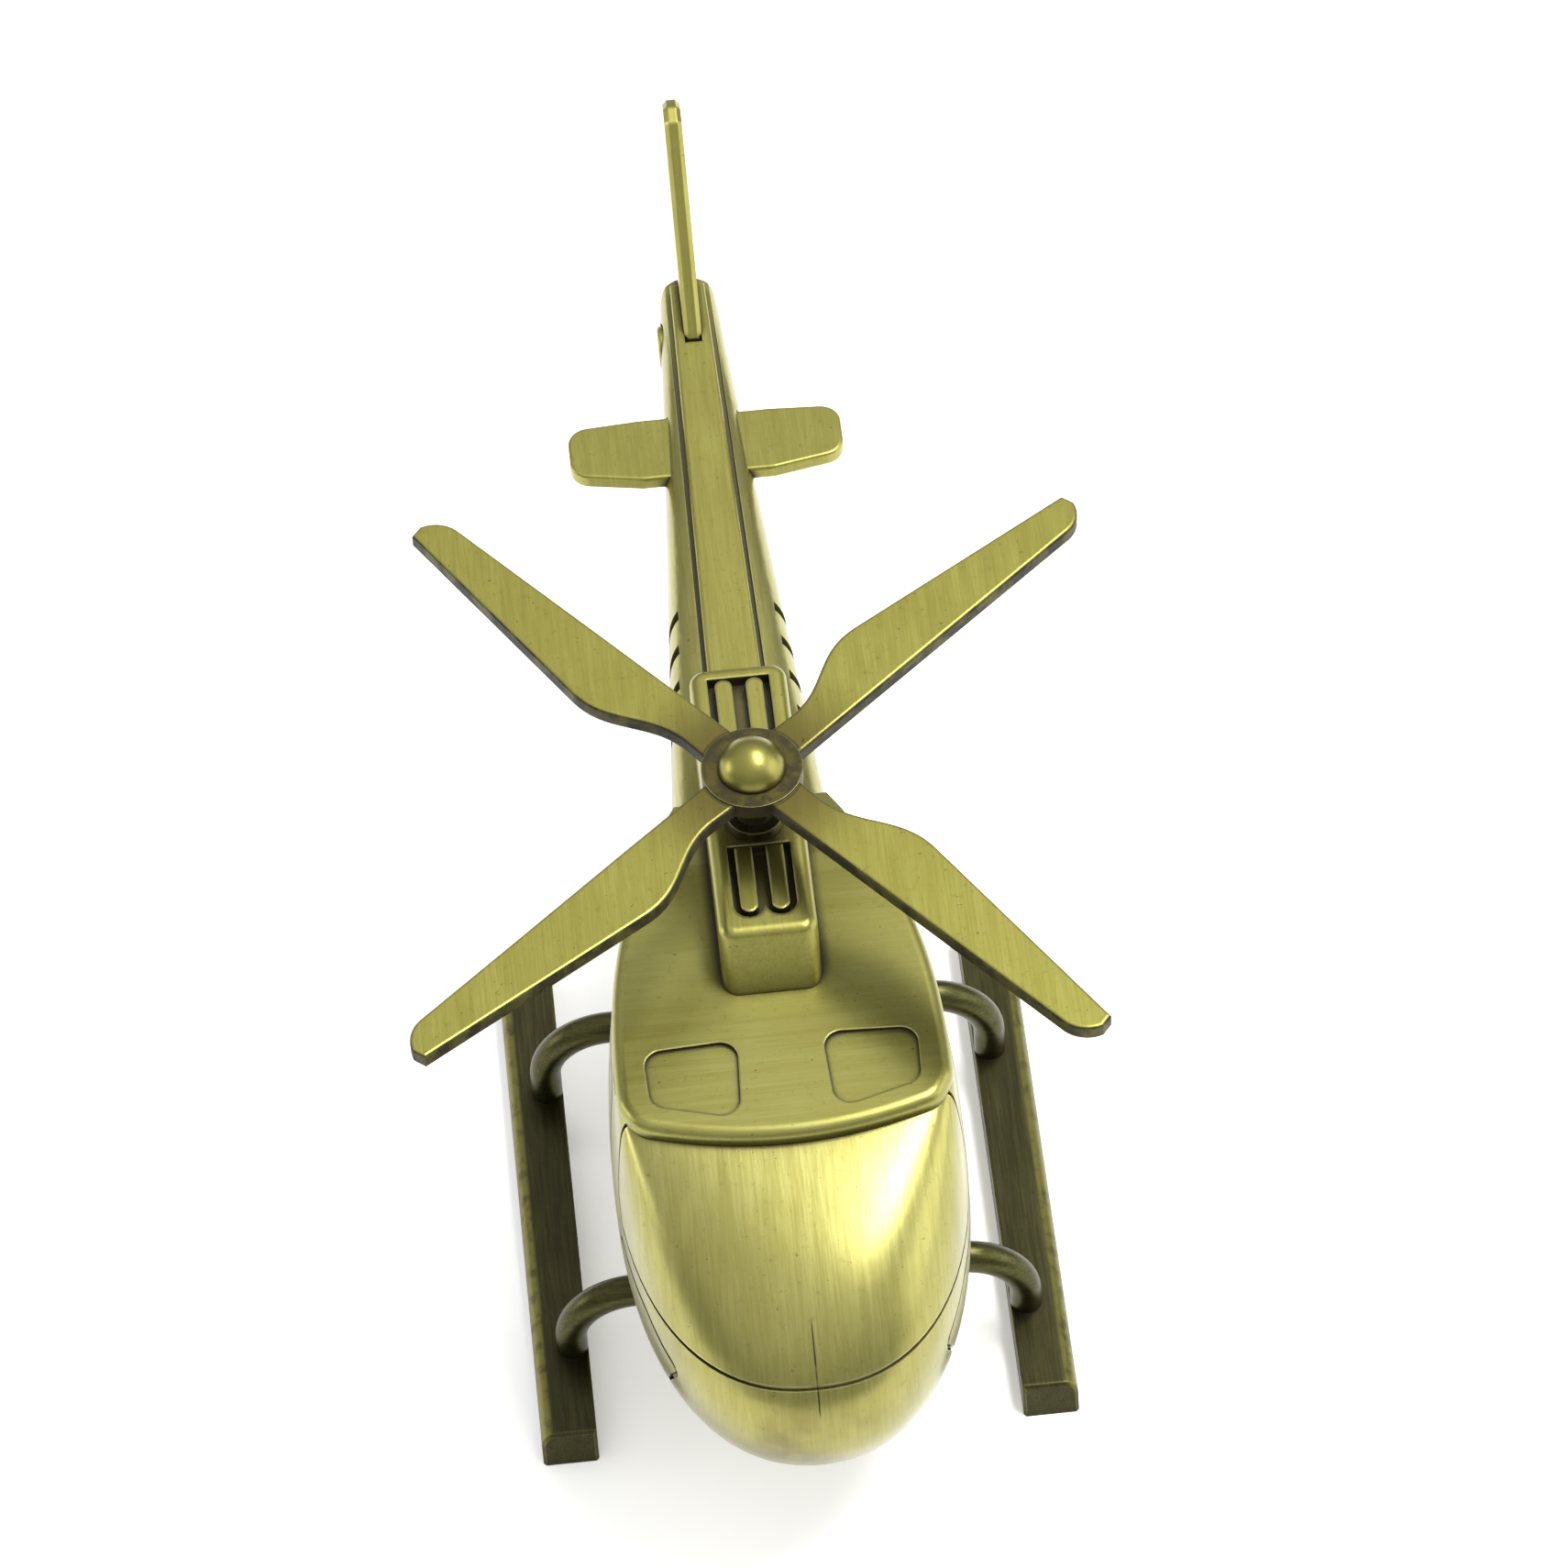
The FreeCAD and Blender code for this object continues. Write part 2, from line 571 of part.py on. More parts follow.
def fuselage_half(label, shell, side):
    reach = (0.0, 20.0) if side > 0 else (-20.0, 0.0)
    half = shell.common(block((reach[0], -60.0, 0.0), (reach[1], 90.0, 60.0)))
    solids = sorted(half.Solids, key=lambda solid: solid.Volume)
    return feature(label, solids[-1])


# ---------------------------------------------------------------- roof cover
ROOF_WINDOW = [(3.6, -19.2), (11.7, -19.6), (11.5, -25.2), (4.0, -27.4)]
ROOF_WINDOW_DEPTH = 0.35
ROOF_BREAK_STATION = 0.0           # the roof is level ahead of this and slopes to the boom behind it
ROOF_REAR_HEIGHT = 38.3            # top of the roof at its rear end
ROOF_EDGE_ROUND = 1.0
LIP_CORNER_ROUND = 3.0
LIP_CORNER_FLARE = 2.4             # the lip's corners run out to the hull's side over this width
ROOF_PLAN_END = 40.0               # well behind the roof; its real end is the hull's own
ROOF_WINDOW_CORNER = 1.6


def roof_plan():
    """Plan outline of the roof: swept lip in front, the hull's own sides behind it."""
    deck = dim("deck_height")
    hull = Part.Face(hull_section(deck, 0.0, dim("lip_station") - 8.0))
    half = dim("lip_half_width")
    nose = dim("lip_station")
    corner = nose + dim("lip_sweep")
    lip = Part.Arc(Vector(-half, corner, deck), Vector(0, nose, deck), Vector(half, corner, deck))
    wide = half + LIP_CORNER_FLARE
    start = corner + 2.0 * LIP_CORNER_FLARE
    behind = [(wide, start), (wide, ROOF_PLAN_END), (-wide, ROOF_PLAN_END), (-wide, start)]
    chain = [lip.EndPoint] + [Vector(x, y, deck) for x, y in behind] + [lip.StartPoint]
    edges = [lip.toShape()]
    edges += [Part.LineSegment(chain[k], chain[k + 1]).toShape() for k in range(len(chain) - 1)]
    return hull.common(Part.Face(Part.Wire(edges)))


def roof_cover():
    deck = dim("deck_height")
    top = deck + dim("roof_thickness")
    tail = dim("hull_tail_station")
    cover = roof_plan().extrude(Vector(0, 0, dim("roof_thickness")))
    ahead = dim("lip_station") - 5.0
    profile = [(ahead, deck), (ahead, top), (ROOF_BREAK_STATION, top), (tail, ROOF_REAR_HEIGHT), (tail, deck)]
    cover = cover.common(polygon_prism(profile, -20.0, 20.0))
    lip_corners = [edge for edge in cover.Edges if spans(edge, "z") and edge.BoundBox.YMax < -20.0]
    cover = cover.makeFillet(LIP_CORNER_ROUND, lip_corners)
    rim = [edge for edge in cover.Edges
           if edge.BoundBox.ZMin > top - 0.01 and not spans(edge, "x")]
    cover = cover.makeFillet(ROOF_EDGE_ROUND, rim)
    for side in (-1, 1):
        corners = [Vector(side * x, y, top - ROOF_WINDOW_DEPTH) for x, y in ROOF_WINDOW]
        face = Part.Face(Part.makePolygon(corners + corners[:1]))
        recess = face.extrude(Vector(0, 0, 2.0))
        upright = [edge for edge in recess.Edges if spans(edge, "z")]
        cover = cover.cut(recess.makeFillet(ROOF_WINDOW_CORNER, upright))
    cover = cover.cut(cylinder(dim("mast_radius") + PRESS_GAP, 6.0, (0, 0, deck - 1.0), (0, 0, 1)))
    for station in COWL_SCREW_STATIONS:
        cover = cover.cut(cylinder(COWL_SCREW_RADIUS, 6.0, (0, station, deck - 1.0), (0, 0, 1)))
    return feature("roof_cover", cover)


# ---------------------------------------------------------------- engine cowling
COWL_SCREW_STATIONS = (-8.6, 3.9)
COWL_SCREW_RADIUS = 0.6
COWL_SCREW_TOP = 42.0
COWL_WALL = 1.3
COWL_CAVITIES = (("front", -6.4, -3.4), ("rear", 5.6, 13.0))       # Y ends of the hollows underneath
COWL_CAVITY_RISE = 2.6             # how far the hollows go up from the roof
COWL_SEAT = 37.2                   # the cowling's rear half is let into the boom down to here
COWL_REAR_RAKE = 1.3
COWL_CORNER_ROUND = 1.4
COWL_TOP_ROUND = 0.9
POCKETS = (("front", -10.4, -2.7), ("rear", 8.0, 16.0))            # Y ends of the pockets
POCKET_OVERLAP = 0.02              # the two halves of a pocket run into each other by this much
RIB_GAPS = (0.6, 0.15)             # a rib's clearance from its pocket's front and rear ends
RIB_DROP = 0.05                    # ribs stop this far below the cowling's top
UNDERCUT = 2.0                     # how far below the roof the cutting sketches start


def slot_outline(item, x, front, rear, half, round_front, round_rear):
    """A slot along Y with a half-round end wherever it is asked for."""
    low = front + (half if round_front else 0.0)
    high = rear - (half if round_rear else 0.0)
    left = Part.LineSegment(Vector(x - half, high, 0), Vector(x - half, low, 0))
    right = Part.LineSegment(Vector(x + half, low, 0), Vector(x + half, high, 0))
    item.addGeometry([left, right], False)
    if round_front:
        item.addGeometry(Part.ArcOfCircle(Part.Circle(Vector(x, low, 0), Vector(0, 0, 1), half),
                                          math.pi, math.tau), False)
    else:
        item.addGeometry(Part.LineSegment(Vector(x - half, low, 0), Vector(x + half, low, 0)), False)
    if round_rear:
        item.addGeometry(Part.ArcOfCircle(Part.Circle(Vector(x, high, 0), Vector(0, 0, 1), half),
                                          0.0, math.pi), False)
    else:
        item.addGeometry(Part.LineSegment(Vector(x + half, high, 0), Vector(x - half, high, 0)), False)


def engine_cowling():
    """Box with a raked front: two pockets with two ribs each, hollow underneath round the mast."""
    owner = body("engine_cowling")
    side_view = sketch(owner, "cowling_side_view", "YZ_Plane")
    foot = "Dims.deck_height + Dims.roof_thickness"
    top = f"{foot} + Dims.cowl_height"
    outline(side_view, [
        ("Dims.cowl_front", foot),
        ("Dims.cowl_front + Dims.cowl_front_rake", top),
        (f"Dims.cowl_rear - {COWL_REAR_RAKE}", top),
        ("Dims.cowl_rear", f"{COWL_SEAT}"),
        (f"{ROOF_END}", f"{COWL_SEAT}"),
        (f"{ROOF_END}", f"{ROOF_REAR_HEIGHT}"),
        (f"{ROOF_BREAK_STATION}", foot),
    ])
    pad(owner, side_view, "2 * Dims.cowl_half_width", both_ways=True)
    top_z = dim("deck_height") + dim("roof_thickness") + dim("cowl_height")
    half = dim("cowl_half_width")

    def is_corner(edge):
        box = edge.BoundBox
        return box.ZLength > 4.0 and abs(abs(box.XMin) - half) < 1e-6

    dress(owner, "Fillet", COWL_CORNER_ROUND, is_corner)
    dress(owner, "Fillet", COWL_TOP_ROUND, lambda edge: edge.BoundBox.ZMin > top_z - 1e-4)

    underneath = f"{foot} - {UNDERCUT}"
    for name, front, rear in COWL_CAVITIES:
        cavity = sketch(owner, f"cavity_{name}", lift=underneath)
        outline(cavity, [
            (f"Dims.cowl_half_width - {COWL_WALL}", f"{front}"),
            (f"Dims.cowl_half_width - {COWL_WALL}", f"{rear}"),
            (f"{COWL_WALL} - Dims.cowl_half_width", f"{rear}"),
            (f"{COWL_WALL} - Dims.cowl_half_width", f"{front}"),
        ])
        pocket(owner, cavity, f"{COWL_CAVITY_RISE} + {UNDERCUT}", reverse=True)

    spacing = dim("rib_spacing")
    rib_half = 0.5 * dim("rib_width")
    for name, front, rear in POCKETS:
        for side in (-1, 1):
            tag = f"{name}_{'port' if side > 0 else 'starboard'}"
            recess = sketch(owner, f"pocket_{tag}", lift=top)
            half_pocket = 0.5 * spacing + POCKET_OVERLAP
            slot_outline(recess, 0.5 * side * spacing, front, rear, half_pocket, name == "front", False)
            pocket(owner, recess, "Dims.pocket_depth")
    for name, front, rear in POCKETS:
        for side in (-1, 1):
            tag = f"{name}_{'port' if side > 0 else 'starboard'}"
            rib = sketch(owner, f"rib_{tag}", lift=f"{top} - Dims.pocket_depth")
            rib_front = front + RIB_GAPS[0]
            rib_rear = rear - RIB_GAPS[1]
            slot_outline(rib, 0.5 * side * spacing, rib_front, rib_rear, rib_half, True, name == "rear")
            pad(owner, rib, f"Dims.pocket_depth - {RIB_DROP}")
    doc.recompute()

    bore = sketch(owner, "mast_bore", lift=underneath)
    circle(bore, f"Dims.mast_radius + {PRESS_GAP}")
    pocket(owner, bore, f"Dims.cowl_height + 2 * {UNDERCUT}", reverse=True)
    for station in COWL_SCREW_STATIONS:
        hole = sketch(owner, f"screw_hole_{'front' if station < 0 else 'rear'}", lift=underneath)
        circle(hole, f"{COWL_SCREW_RADIUS}", 0.0, station)
        pocket(owner, hole, f"{COWL_SCREW_TOP} - ({foot}) + {UNDERCUT}", reverse=True)
    return register(owner, "engine_cowling")


# ---------------------------------------------------------------- boom spine, fin, tailplane, boss
def boom_spine():
    top = dim("boom_top") + SPINE_STAND
    strip = tapered_strip(SPINE_FRONT, SPINE_REAR, SPINE_ROOT_HALF, SPINE_TIP_HALF, SPINE_FLOOR, top)
    upper = [edge for edge in strip.Edges if edge.BoundBox.ZMin > top - 1e-4]
    strip = strip.makeFillet(SPINE_EDGE_ROUND, upper)
    half = 0.5 * dim("fin_thickness")
    root = dim("fin_root_station")
    strip = strip.cut(block((-half, root, 30.0), (half, SPINE_REAR + 1.0, 45.0)))
    return feature("boom_spine", strip)


def tail_fin():
    """Swept fin with bevelled edges and a tenon that goes down into the boom."""
    owner = body("tail_fin")
    side_view = sketch(owner, "fin_side_view", "YZ_Plane")
    root = "Dims.fin_root_station"
    foot = f"{SPINE_FLOOR}"
    low, high = FIN_TENON
    top_front = f"{root} + Dims.fin_sweep"
    top = "Dims.boom_top + Dims.fin_height"
    outline(side_view, [
        (root, foot),
        (f"{root} + 0.4", f"Dims.boom_top + {SPINE_STAND}"),
        (top_front, f"{top} - 0.4"),
        (f"{top_front} + 0.45 * {FIN_TIP_CHORD}", top),
        (f"{top_front} + {FIN_TIP_CHORD}", f"{top} - 0.7"),
        (f"{root} + {FIN_ROOT_CHORD}", "Dims.boom_top - 1.0"),
        (f"{high[0]}", "Dims.boom_top - 1.6"),
        (f"{high[0]}", f"{low[1]}"),
        (f"{low[0]}", f"{low[1]}"),
        (f"{low[0]}", foot),
    ])
    pad(owner, side_view, "Dims.fin_thickness", both_ways=True)
    above = dim("boom_top") + SPINE_STAND - 0.01

    def rounded_corner(edge):
        return spans(edge, "x") and edge.BoundBox.ZMin > above + 5.0

    dress(owner, "Fillet", 0.8, rounded_corner)

    def outer_rim(edge):
        box = edge.BoundBox
        return box.XLength < 1e-6 and box.ZMax > above + 1.0

    dress(owner, "Chamfer", 0.4, outer_rim)
    pin = sketch(owner, "fin_pin_hole", "YZ_Plane")
    circle(pin, f"{FIN_PIN_RADIUS}", *FIN_PIN_PLACE)
    pocket(owner, pin, "4", both_ways=True)
    return register(owner, "tail_fin")


def tailplane():
    """One flat plate through the boom: straight through, tapered and round-tipped outside it."""
    owner = body("tailplane")
    plan = sketch(owner, "tailplane_plan")
    front, rear = TAILPLANE_SLOT
    tip_front, tip_rear = TAILPLANE_TIP
    outline(plan, [
        (f"-{TAILPLANE_ROOT}", f"{front} + 0.1"),
        (f"{TAILPLANE_ROOT}", f"{front} + 0.1"),
        ("Dims.tailplane_span", f"{tip_front}"),
        ("Dims.tailplane_span", f"{tip_rear}"),
        (f"{TAILPLANE_ROOT}", f"{rear} - 0.1"),
        (f"-{TAILPLANE_ROOT}", f"{rear} - 0.1"),
        ("-Dims.tailplane_span", f"{tip_rear}"),
        ("-Dims.tailplane_span", f"{tip_front}"),
    ])
    pad(owner, plan, "Dims.tailplane_thickness")
    span = dim("tailplane_span")
    dress(owner, "Fillet", 1.9, lambda edge: spans(edge, "z") and abs(abs(edge.BoundBox.XMin) - span) < 1e-6)
    dress(owner, "Fillet", 0.3, lambda edge: edge.BoundBox.ZLength < 1e-6)
    register(owner, "tailplane")
    owner.setExpression("Placement.Base.z", "Dims.tailplane_top - Dims.tailplane_thickness")
    return owner


def tail_boss():
    """Low round boss let into the starboard side of the boom end."""
    y, z = TAIL_BOSS_PLACE
    stem = cylinder(TAIL_BOSS_STEM, 1.3, (-1.3, y, z), (-1, 0, 0))
    head = cylinder(TAIL_BOSS_RADIUS, 0.75, (TAIL_BOSS_FACE + 0.75, y, z), (-1, 0, 0))
    outer_edge = [edge for edge in head.Edges if edge.BoundBox.XMax < TAIL_BOSS_FACE + 0.1]
    return feature("tail_boss", head.makeFillet(0.3, outer_edge).fuse(stem))


def fin_pin():
    y, z = FIN_PIN_PLACE
    return feature("fin_pin", cylinder(FIN_PIN_RADIUS, 2.0 * FIN_PIN_HALF, (-FIN_PIN_HALF, y, z), (1, 0, 0)))


# ---------------------------------------------------------------- landing gear
SKID_EDGE_ROUND = 1.3


def skid(label, side):
    """A straight bar with leaning ends and a rounded outer edge."""
    owner = body(label)
    side_view = sketch(owner, label + "_side_view", "YZ_Plane")
    outline(side_view, [
        ("Dims.skid_front", "0"),
        ("Dims.skid_rear", "0"),
        ("Dims.skid_rear - Dims.skid_rake", "Dims.skid_height"),
        ("Dims.skid_front + Dims.skid_rake", "Dims.skid_height"),
    ])
    pad(owner, side_view, "Dims.skid_width", both_ways=True)
    height = dim("skid_height")
    half = 0.5 * dim("skid_width")

    def outer_top(edge):
        box = edge.BoundBox
        return spans(edge, "y") and box.ZMin > height - 1e-6 and box.XMin * side > half - 1e-6

    dress(owner, "Fillet", SKID_EDGE_ROUND, outer_top)
    dress(owner, "Chamfer", 0.25, lambda edge: edge.BoundBox.YLength < 1.0 and edge.BoundBox.ZLength > 0.5)
    sockets = sketch(owner, label + "_sockets", lift="Dims.skid_height")
    offset = side * (dim("strut_foot") - dim("skid_inner") - half)
    for end in STRUT_ENDS:
        circle(sockets, "0.7", offset, dim(f"{end}_strut_station"))
    pocket(owner, sockets, "1.6")
    register(owner, label)
    owner.setExpression("Placement.Base.x", f"{side} * (Dims.skid_inner + 0.5 * Dims.skid_width)")
    return owner


def strut_arch(end):
    """A round rod bent down at both ends, with a thinner tenon at each foot."""
    label = f"{end}_strut_arch"
    owner = body(label)
    path = sketch(owner, label + "_path", "XZ_Plane")
    foot = dim("strut_foot")
    bend = dim("strut_bend")
    level = dim(f"{end}_strut_height")
    start = dim("skid_height")
    diagonal = bend * math.sqrt(0.5)
    port_centre = Vector(foot - bend, level - bend, 0)
    starboard_centre = Vector(bend - foot, level - bend, 0)
    port_middle = port_centre + Vector(diagonal, diagonal, 0)
    starboard_middle = starboard_centre + Vector(-diagonal, diagonal, 0)
    port_bend = Part.Arc(Vector(foot, level - bend, 0), port_middle, Vector(foot - bend, level, 0))
    starboard_bend = Part.Arc(Vector(bend - foot, level, 0), starboard_middle, Vector(-foot, level - bend, 0))
    path.addGeometry([
        Part.LineSegment(Vector(foot, start, 0), Vector(foot, level - bend, 0)),
        port_bend,
        Part.LineSegment(Vector(foot - bend, level, 0), Vector(bend - foot, level, 0)),
        starboard_bend,
        Part.LineSegment(Vector(-foot, level - bend, 0), Vector(-foot, start, 0)),
    ], False)
    for k in range(4):
        path.addConstraint(Sketcher.Constraint("Coincident", k, 2, k + 1, 1))
    section = sketch(owner, label + "_section", lift="Dims.skid_height")
    circle(section, "Dims.strut_radius", foot, 0.0)
    pipe = owner.newObject("PartDesign::AdditivePipe", label + "_rod")
    pipe.Profile = section
    pipe.Spine = (path, [f"Edge{k}" for k in range(1, 6)])
    doc.recompute()
    tenons = sketch(owner, label + "_tenons", lift="Dims.skid_height")
    for side in (-1, 1):
        circle(tenons, "0.7", side * foot, 0.0)
    pad(owner, tenons, "1.6", reverse=True)
    return register(owner, label, base=(0.0, dim(f"{end}_strut_station"), 0.0))


# ---------------------------------------------------------------- belly plate, clamps, screws
PLATE_THICKNESS = 1.0
PLATE_GAP = 0.08                   # round the plate in the belly's opening
CRADLE_HALF = 3.9                  # half length of the cradle a strut lies in
CLAMP_HALF_WIDTH = 4.2
CLAMP_REACH = (-3.0, 2.75)          # Y ends of a clamp from its rod
CLAMP_COVER = 2.3
BELLY_SCREWS = [(3.2, -2.1), (-3.2, 2.0)]      # X, Y of a clamp's two screws from its middle
BELLY_SCREW_RADIUS = 0.5
BELLY_HEAD_RADIUS = 0.95
BELLY_HEAD_HEIGHT = 0.5
BELLY_SCREW_LENGTH = 3.2            # shank below the head


def belly_screw_places():
    stations = [dim(f"{end}_strut_station") for end in STRUT_ENDS]
    return [(x, station + y) for station in stations for x, y in BELLY_SCREWS]


def belly_plate():
    floor = dim("belly_height")
    low, high = BELLY_OPENING
    front_corner = (low[0] + PLATE_GAP, low[1] + PLATE_GAP, floor)
    rear_corner = (high[0] - PLATE_GAP, high[1] - PLATE_GAP, floor + PLATE_THICKNESS)
    plate = block(front_corner, rear_corner)
    for end in STRUT_ENDS:
        station = dim(f"{end}_strut_station")
        half = dim("strut_radius") - 0.05
        level = dim(f"{end}_strut_height")
        cradle = block((-CRADLE_HALF, station - half, floor), (CRADLE_HALF, station + half, level))
        plate = plate.fuse(cradle)
        plate = plate.cut(strut_rod(end, dim("strut_radius") + PRESS_GAP))
    for x, y in belly_screw_places():
        plate = plate.cut(cylinder(BELLY_SCREW_RADIUS, 3.0, (x, y, floor - 1.0), (0, 0, 1)))
        plate = plate.cut(cylinder(BELLY_HEAD_RADIUS, BELLY_HEAD_HEIGHT, (x, y, floor), (0, 0, 1)))
    return feature("belly_plate", plate)


def strut_clamp(end):
    """Block that holds a strut arch down in the belly plate's cradle."""
    station = dim(f"{end}_strut_station")
    level = dim(f"{end}_strut_height")
    rod = dim("strut_radius") + PRESS_GAP
    base = dim("belly_height") + PLATE_THICKNESS
    half = CLAMP_HALF_WIDTH
    ahead, behind = CLAMP_REACH
    saddle = block((-half, station + ahead, base), (half, station + behind, level + CLAMP_COVER))
    saddle = saddle.cut(strut_rod(end, rod))
    saddle = saddle.cut(block((-half - 1.0, station - rod, base - 1.0), (half + 1.0, station + rod, level)))
    for x, y in BELLY_SCREWS:
        at = (x, station + y, base - 0.1)
        saddle = saddle.cut(cylinder(BELLY_SCREW_RADIUS, BELLY_SCREW_LENGTH - 0.6, at, (0, 0, 1)))
    return feature(f"{end}_strut_clamp", saddle)


def belly_screws():
    floor = dim("belly_height")
    screws = []
    for x, y in belly_screw_places():
        head = cylinder(BELLY_HEAD_RADIUS, BELLY_HEAD_HEIGHT, (x, y, floor), (0, 0, 1))
        slot = block((x - 1.2, y - 0.15, floor - 0.1), (x + 1.2, y + 0.15, floor + 0.25))
        under_head = (x, y, floor + BELLY_HEAD_HEIGHT)
        shank = cylinder(BELLY_SCREW_RADIUS, BELLY_SCREW_LENGTH - 0.3, under_head, (0, 0, 1))
        screws.append(head.cut(slot).fuse(shank))
    return feature("belly_screws", Part.makeCompound(screws))


def body_screws():
    """Three screws driven from the starboard side into the port half."""
    screws = []
    for y, z, reach in SCREW_PLACES:
        head_outer = SCREW_HEAD_INNER - SCREW_HEAD_HEIGHT
        head = cylinder(SCREW_HEAD_RADIUS, SCREW_HEAD_HEIGHT, (head_outer, y, z), (1, 0, 0))
        slot_up = block((head_outer - 0.1, y - 0.15, z - 0.9), (head_outer + 0.5, y + 0.15, z + 0.9))
        slot_across = block((head_outer - 0.1, y - 0.9, z - 0.15), (head_outer + 0.5, y + 0.9, z + 0.15))
        length = reach - SCREW_HEAD_INNER - 0.2
        shank = cylinder(SCREW_SHANK_RADIUS, length, (SCREW_HEAD_INNER, y, z), (1, 0, 0))
        screws.append(head.cut([slot_up, slot_across]).fuse(shank))
    return feature("body_screws", Part.makeCompound(screws))


# ---------------------------------------------------------------- mast group and rotor
BRACKET_THICKNESS = 2.0
BRACKET_ENDS = (-11.5, 5.3)
BRACKET_HALF_WIDTH = 4.2
HUB_FOOT = "Dims.rotor_top - Dims.blade_thickness - Dims.hub_boss_drop"
MAST_TOP = f"{HUB_FOOT} - Dims.axial_play - Dims.washer_thickness"
COWL_TOP = "Dims.deck_height + Dims.roof_thickness + Dims.cowl_height"


def mast_bracket():
    deck = dim("deck_height")
    front, rear = BRACKET_ENDS
    plate = block((-BRACKET_HALF_WIDTH, front, deck - BRACKET_THICKNESS), (BRACKET_HALF_WIDTH, rear, deck))
    holes = [cylinder(dim("mast_radius") + 0.02, 4.0, (0, 0, deck - 3.0), (0, 0, 1))]
    for station in COWL_SCREW_STATIONS:
        holes.append(cylinder(COWL_SCREW_RADIUS, 4.0, (0, station, deck - 3.0), (0, 0, 1)))
    return feature("mast_bracket", plate.cut(holes))


def cowling_screws():
    seat = dim("deck_height") - BRACKET_THICKNESS
    screws = []
    for station in COWL_SCREW_STATIONS:
        head = cylinder(1.2, 1.0, (0, station, seat - 1.0), (0, 0, 1))
        shank = cylinder(COWL_SCREW_RADIUS, COWL_SCREW_TOP - 0.2 - seat, (0, station, seat), (0, 0, 1))
        screws.append(head.fuse(shank))
    return feature("cowling_screws", Part.makeCompound(screws))


def rotor_rivet():
    """Domed rivet: its shank is the rotor's axle and goes down through the mast."""
    owner = body("rotor_rivet")
    half_section = sketch(owner, "rivet_half_section", "XZ_Plane")
    head = dim("rotor_top") + dim("axial_play")
    foot = dim("mast_foot") - 1.0
    shank = dim("rivet_radius")
    wide = dim("dome_radius")
    tall = dim("dome_height")
    ball = (wide * wide + tall * tall) / (2.0 * tall)
    centre = head + tall - ball
    middle = math.radians(0.5 * (90.0 + math.degrees(math.atan2(head - centre, wide))))
    shoulder = Vector(ball * math.cos(middle), centre + ball * math.sin(middle), 0)
    dome = Part.Arc(Vector(wide, head, 0), shoulder, Vector(0, head + tall, 0))
    half_section.addGeometry([
        Part.LineSegment(Vector(0, foot, 0), Vector(shank, foot, 0)),
        Part.LineSegment(Vector(shank, foot, 0), Vector(shank, head, 0)),
        Part.LineSegment(Vector(shank, head, 0), Vector(wide, head, 0)),
        dome,
        Part.LineSegment(Vector(0, head + tall, 0), Vector(0, foot, 0)),
    ], False)
    turned = owner.newObject("PartDesign::Revolution", "rivet_turned")
    turned.Profile = half_section
    turned.ReferenceAxis = (half_section, ["V_Axis"])
    turned.Angle = 360.0
    return register(owner, "rotor_rivet")


BLADE_TRAIL_TIP = 0.45             # trailing edge ahead of the centreline at the tip
BLADE_BUMP_STATION = 17.0          # where the leading edge starts to fall towards the neck
BLADE_NECK_STATION = 6.0
BLADE_NECK_HALF = 2.0
BLADE_TIP_ROUND = 2.6
BLADE_EDGE_ROUND = 0.3
WAVE_REACH = 4.7                   # how strongly the wave keeps to its end directions


def blade_edges():
    """One blade along +X: straight trailing edge, bulged leading edge, neck into the hub."""
    radius = dim("rotor_radius")
    bump = dim("blade_bump_chord")
    lead_tip = dim("blade_tip_chord")
    trail_root = -dim("blade_root_trail")
    fall = (bump - lead_tip) / (radius - BLADE_BUMP_STATION)
    trail_slope = (BLADE_TRAIL_TIP - trail_root) / radius
    root = Vector(1.0, trail_root + trail_slope, 0)
    neck_root = Vector(1.0, BLADE_NECK_HALF, 0)
    neck = Vector(BLADE_NECK_STATION, BLADE_NECK_HALF, 0)
    shoulder = Vector(BLADE_BUMP_STATION, bump, 0)
    tip_lead = Vector(radius - 0.3, lead_tip, 0)
    tip_end = Vector(radius, lead_tip - 1.2, 0)
    trail_end = Vector(radius - BLADE_TIP_ROUND, BLADE_TRAIL_TIP - trail_slope * BLADE_TIP_ROUND, 0)
    corner = Vector(radius - 0.27 * BLADE_TIP_ROUND, BLADE_TRAIL_TIP + 0.75, 0)
    wave = Part.BSplineCurve()
    after_shoulder = shoulder + Vector(-WAVE_REACH, WAVE_REACH * fall, 0)
    before_neck = neck + Vector(WAVE_REACH, 0, 0)
    poles = [shoulder, after_shoulder, before_neck, neck]
    wave.buildFromPolesMultsKnots(poles, [4, 4], [0.0, 1.0], False, 3)
    return [
        Part.LineSegment(root, trail_end),
        Part.Arc(trail_end, corner, tip_end),
        Part.LineSegment(tip_end, tip_lead),
        Part.LineSegment(tip_lead, shoulder),
        wave,
        Part.LineSegment(neck, neck_root),
        Part.LineSegment(neck_root, root),
    ]


def on_level(edge, height):
    box = edge.BoundBox
    outside_hub = max(abs(box.XMin), abs(box.XMax), abs(box.YMin), abs(box.YMax)) > dim("hub_radius") + 0.5
    return outside_hub and abs(box.ZMin - height) < 1e-6 and box.ZLength < 1e-6


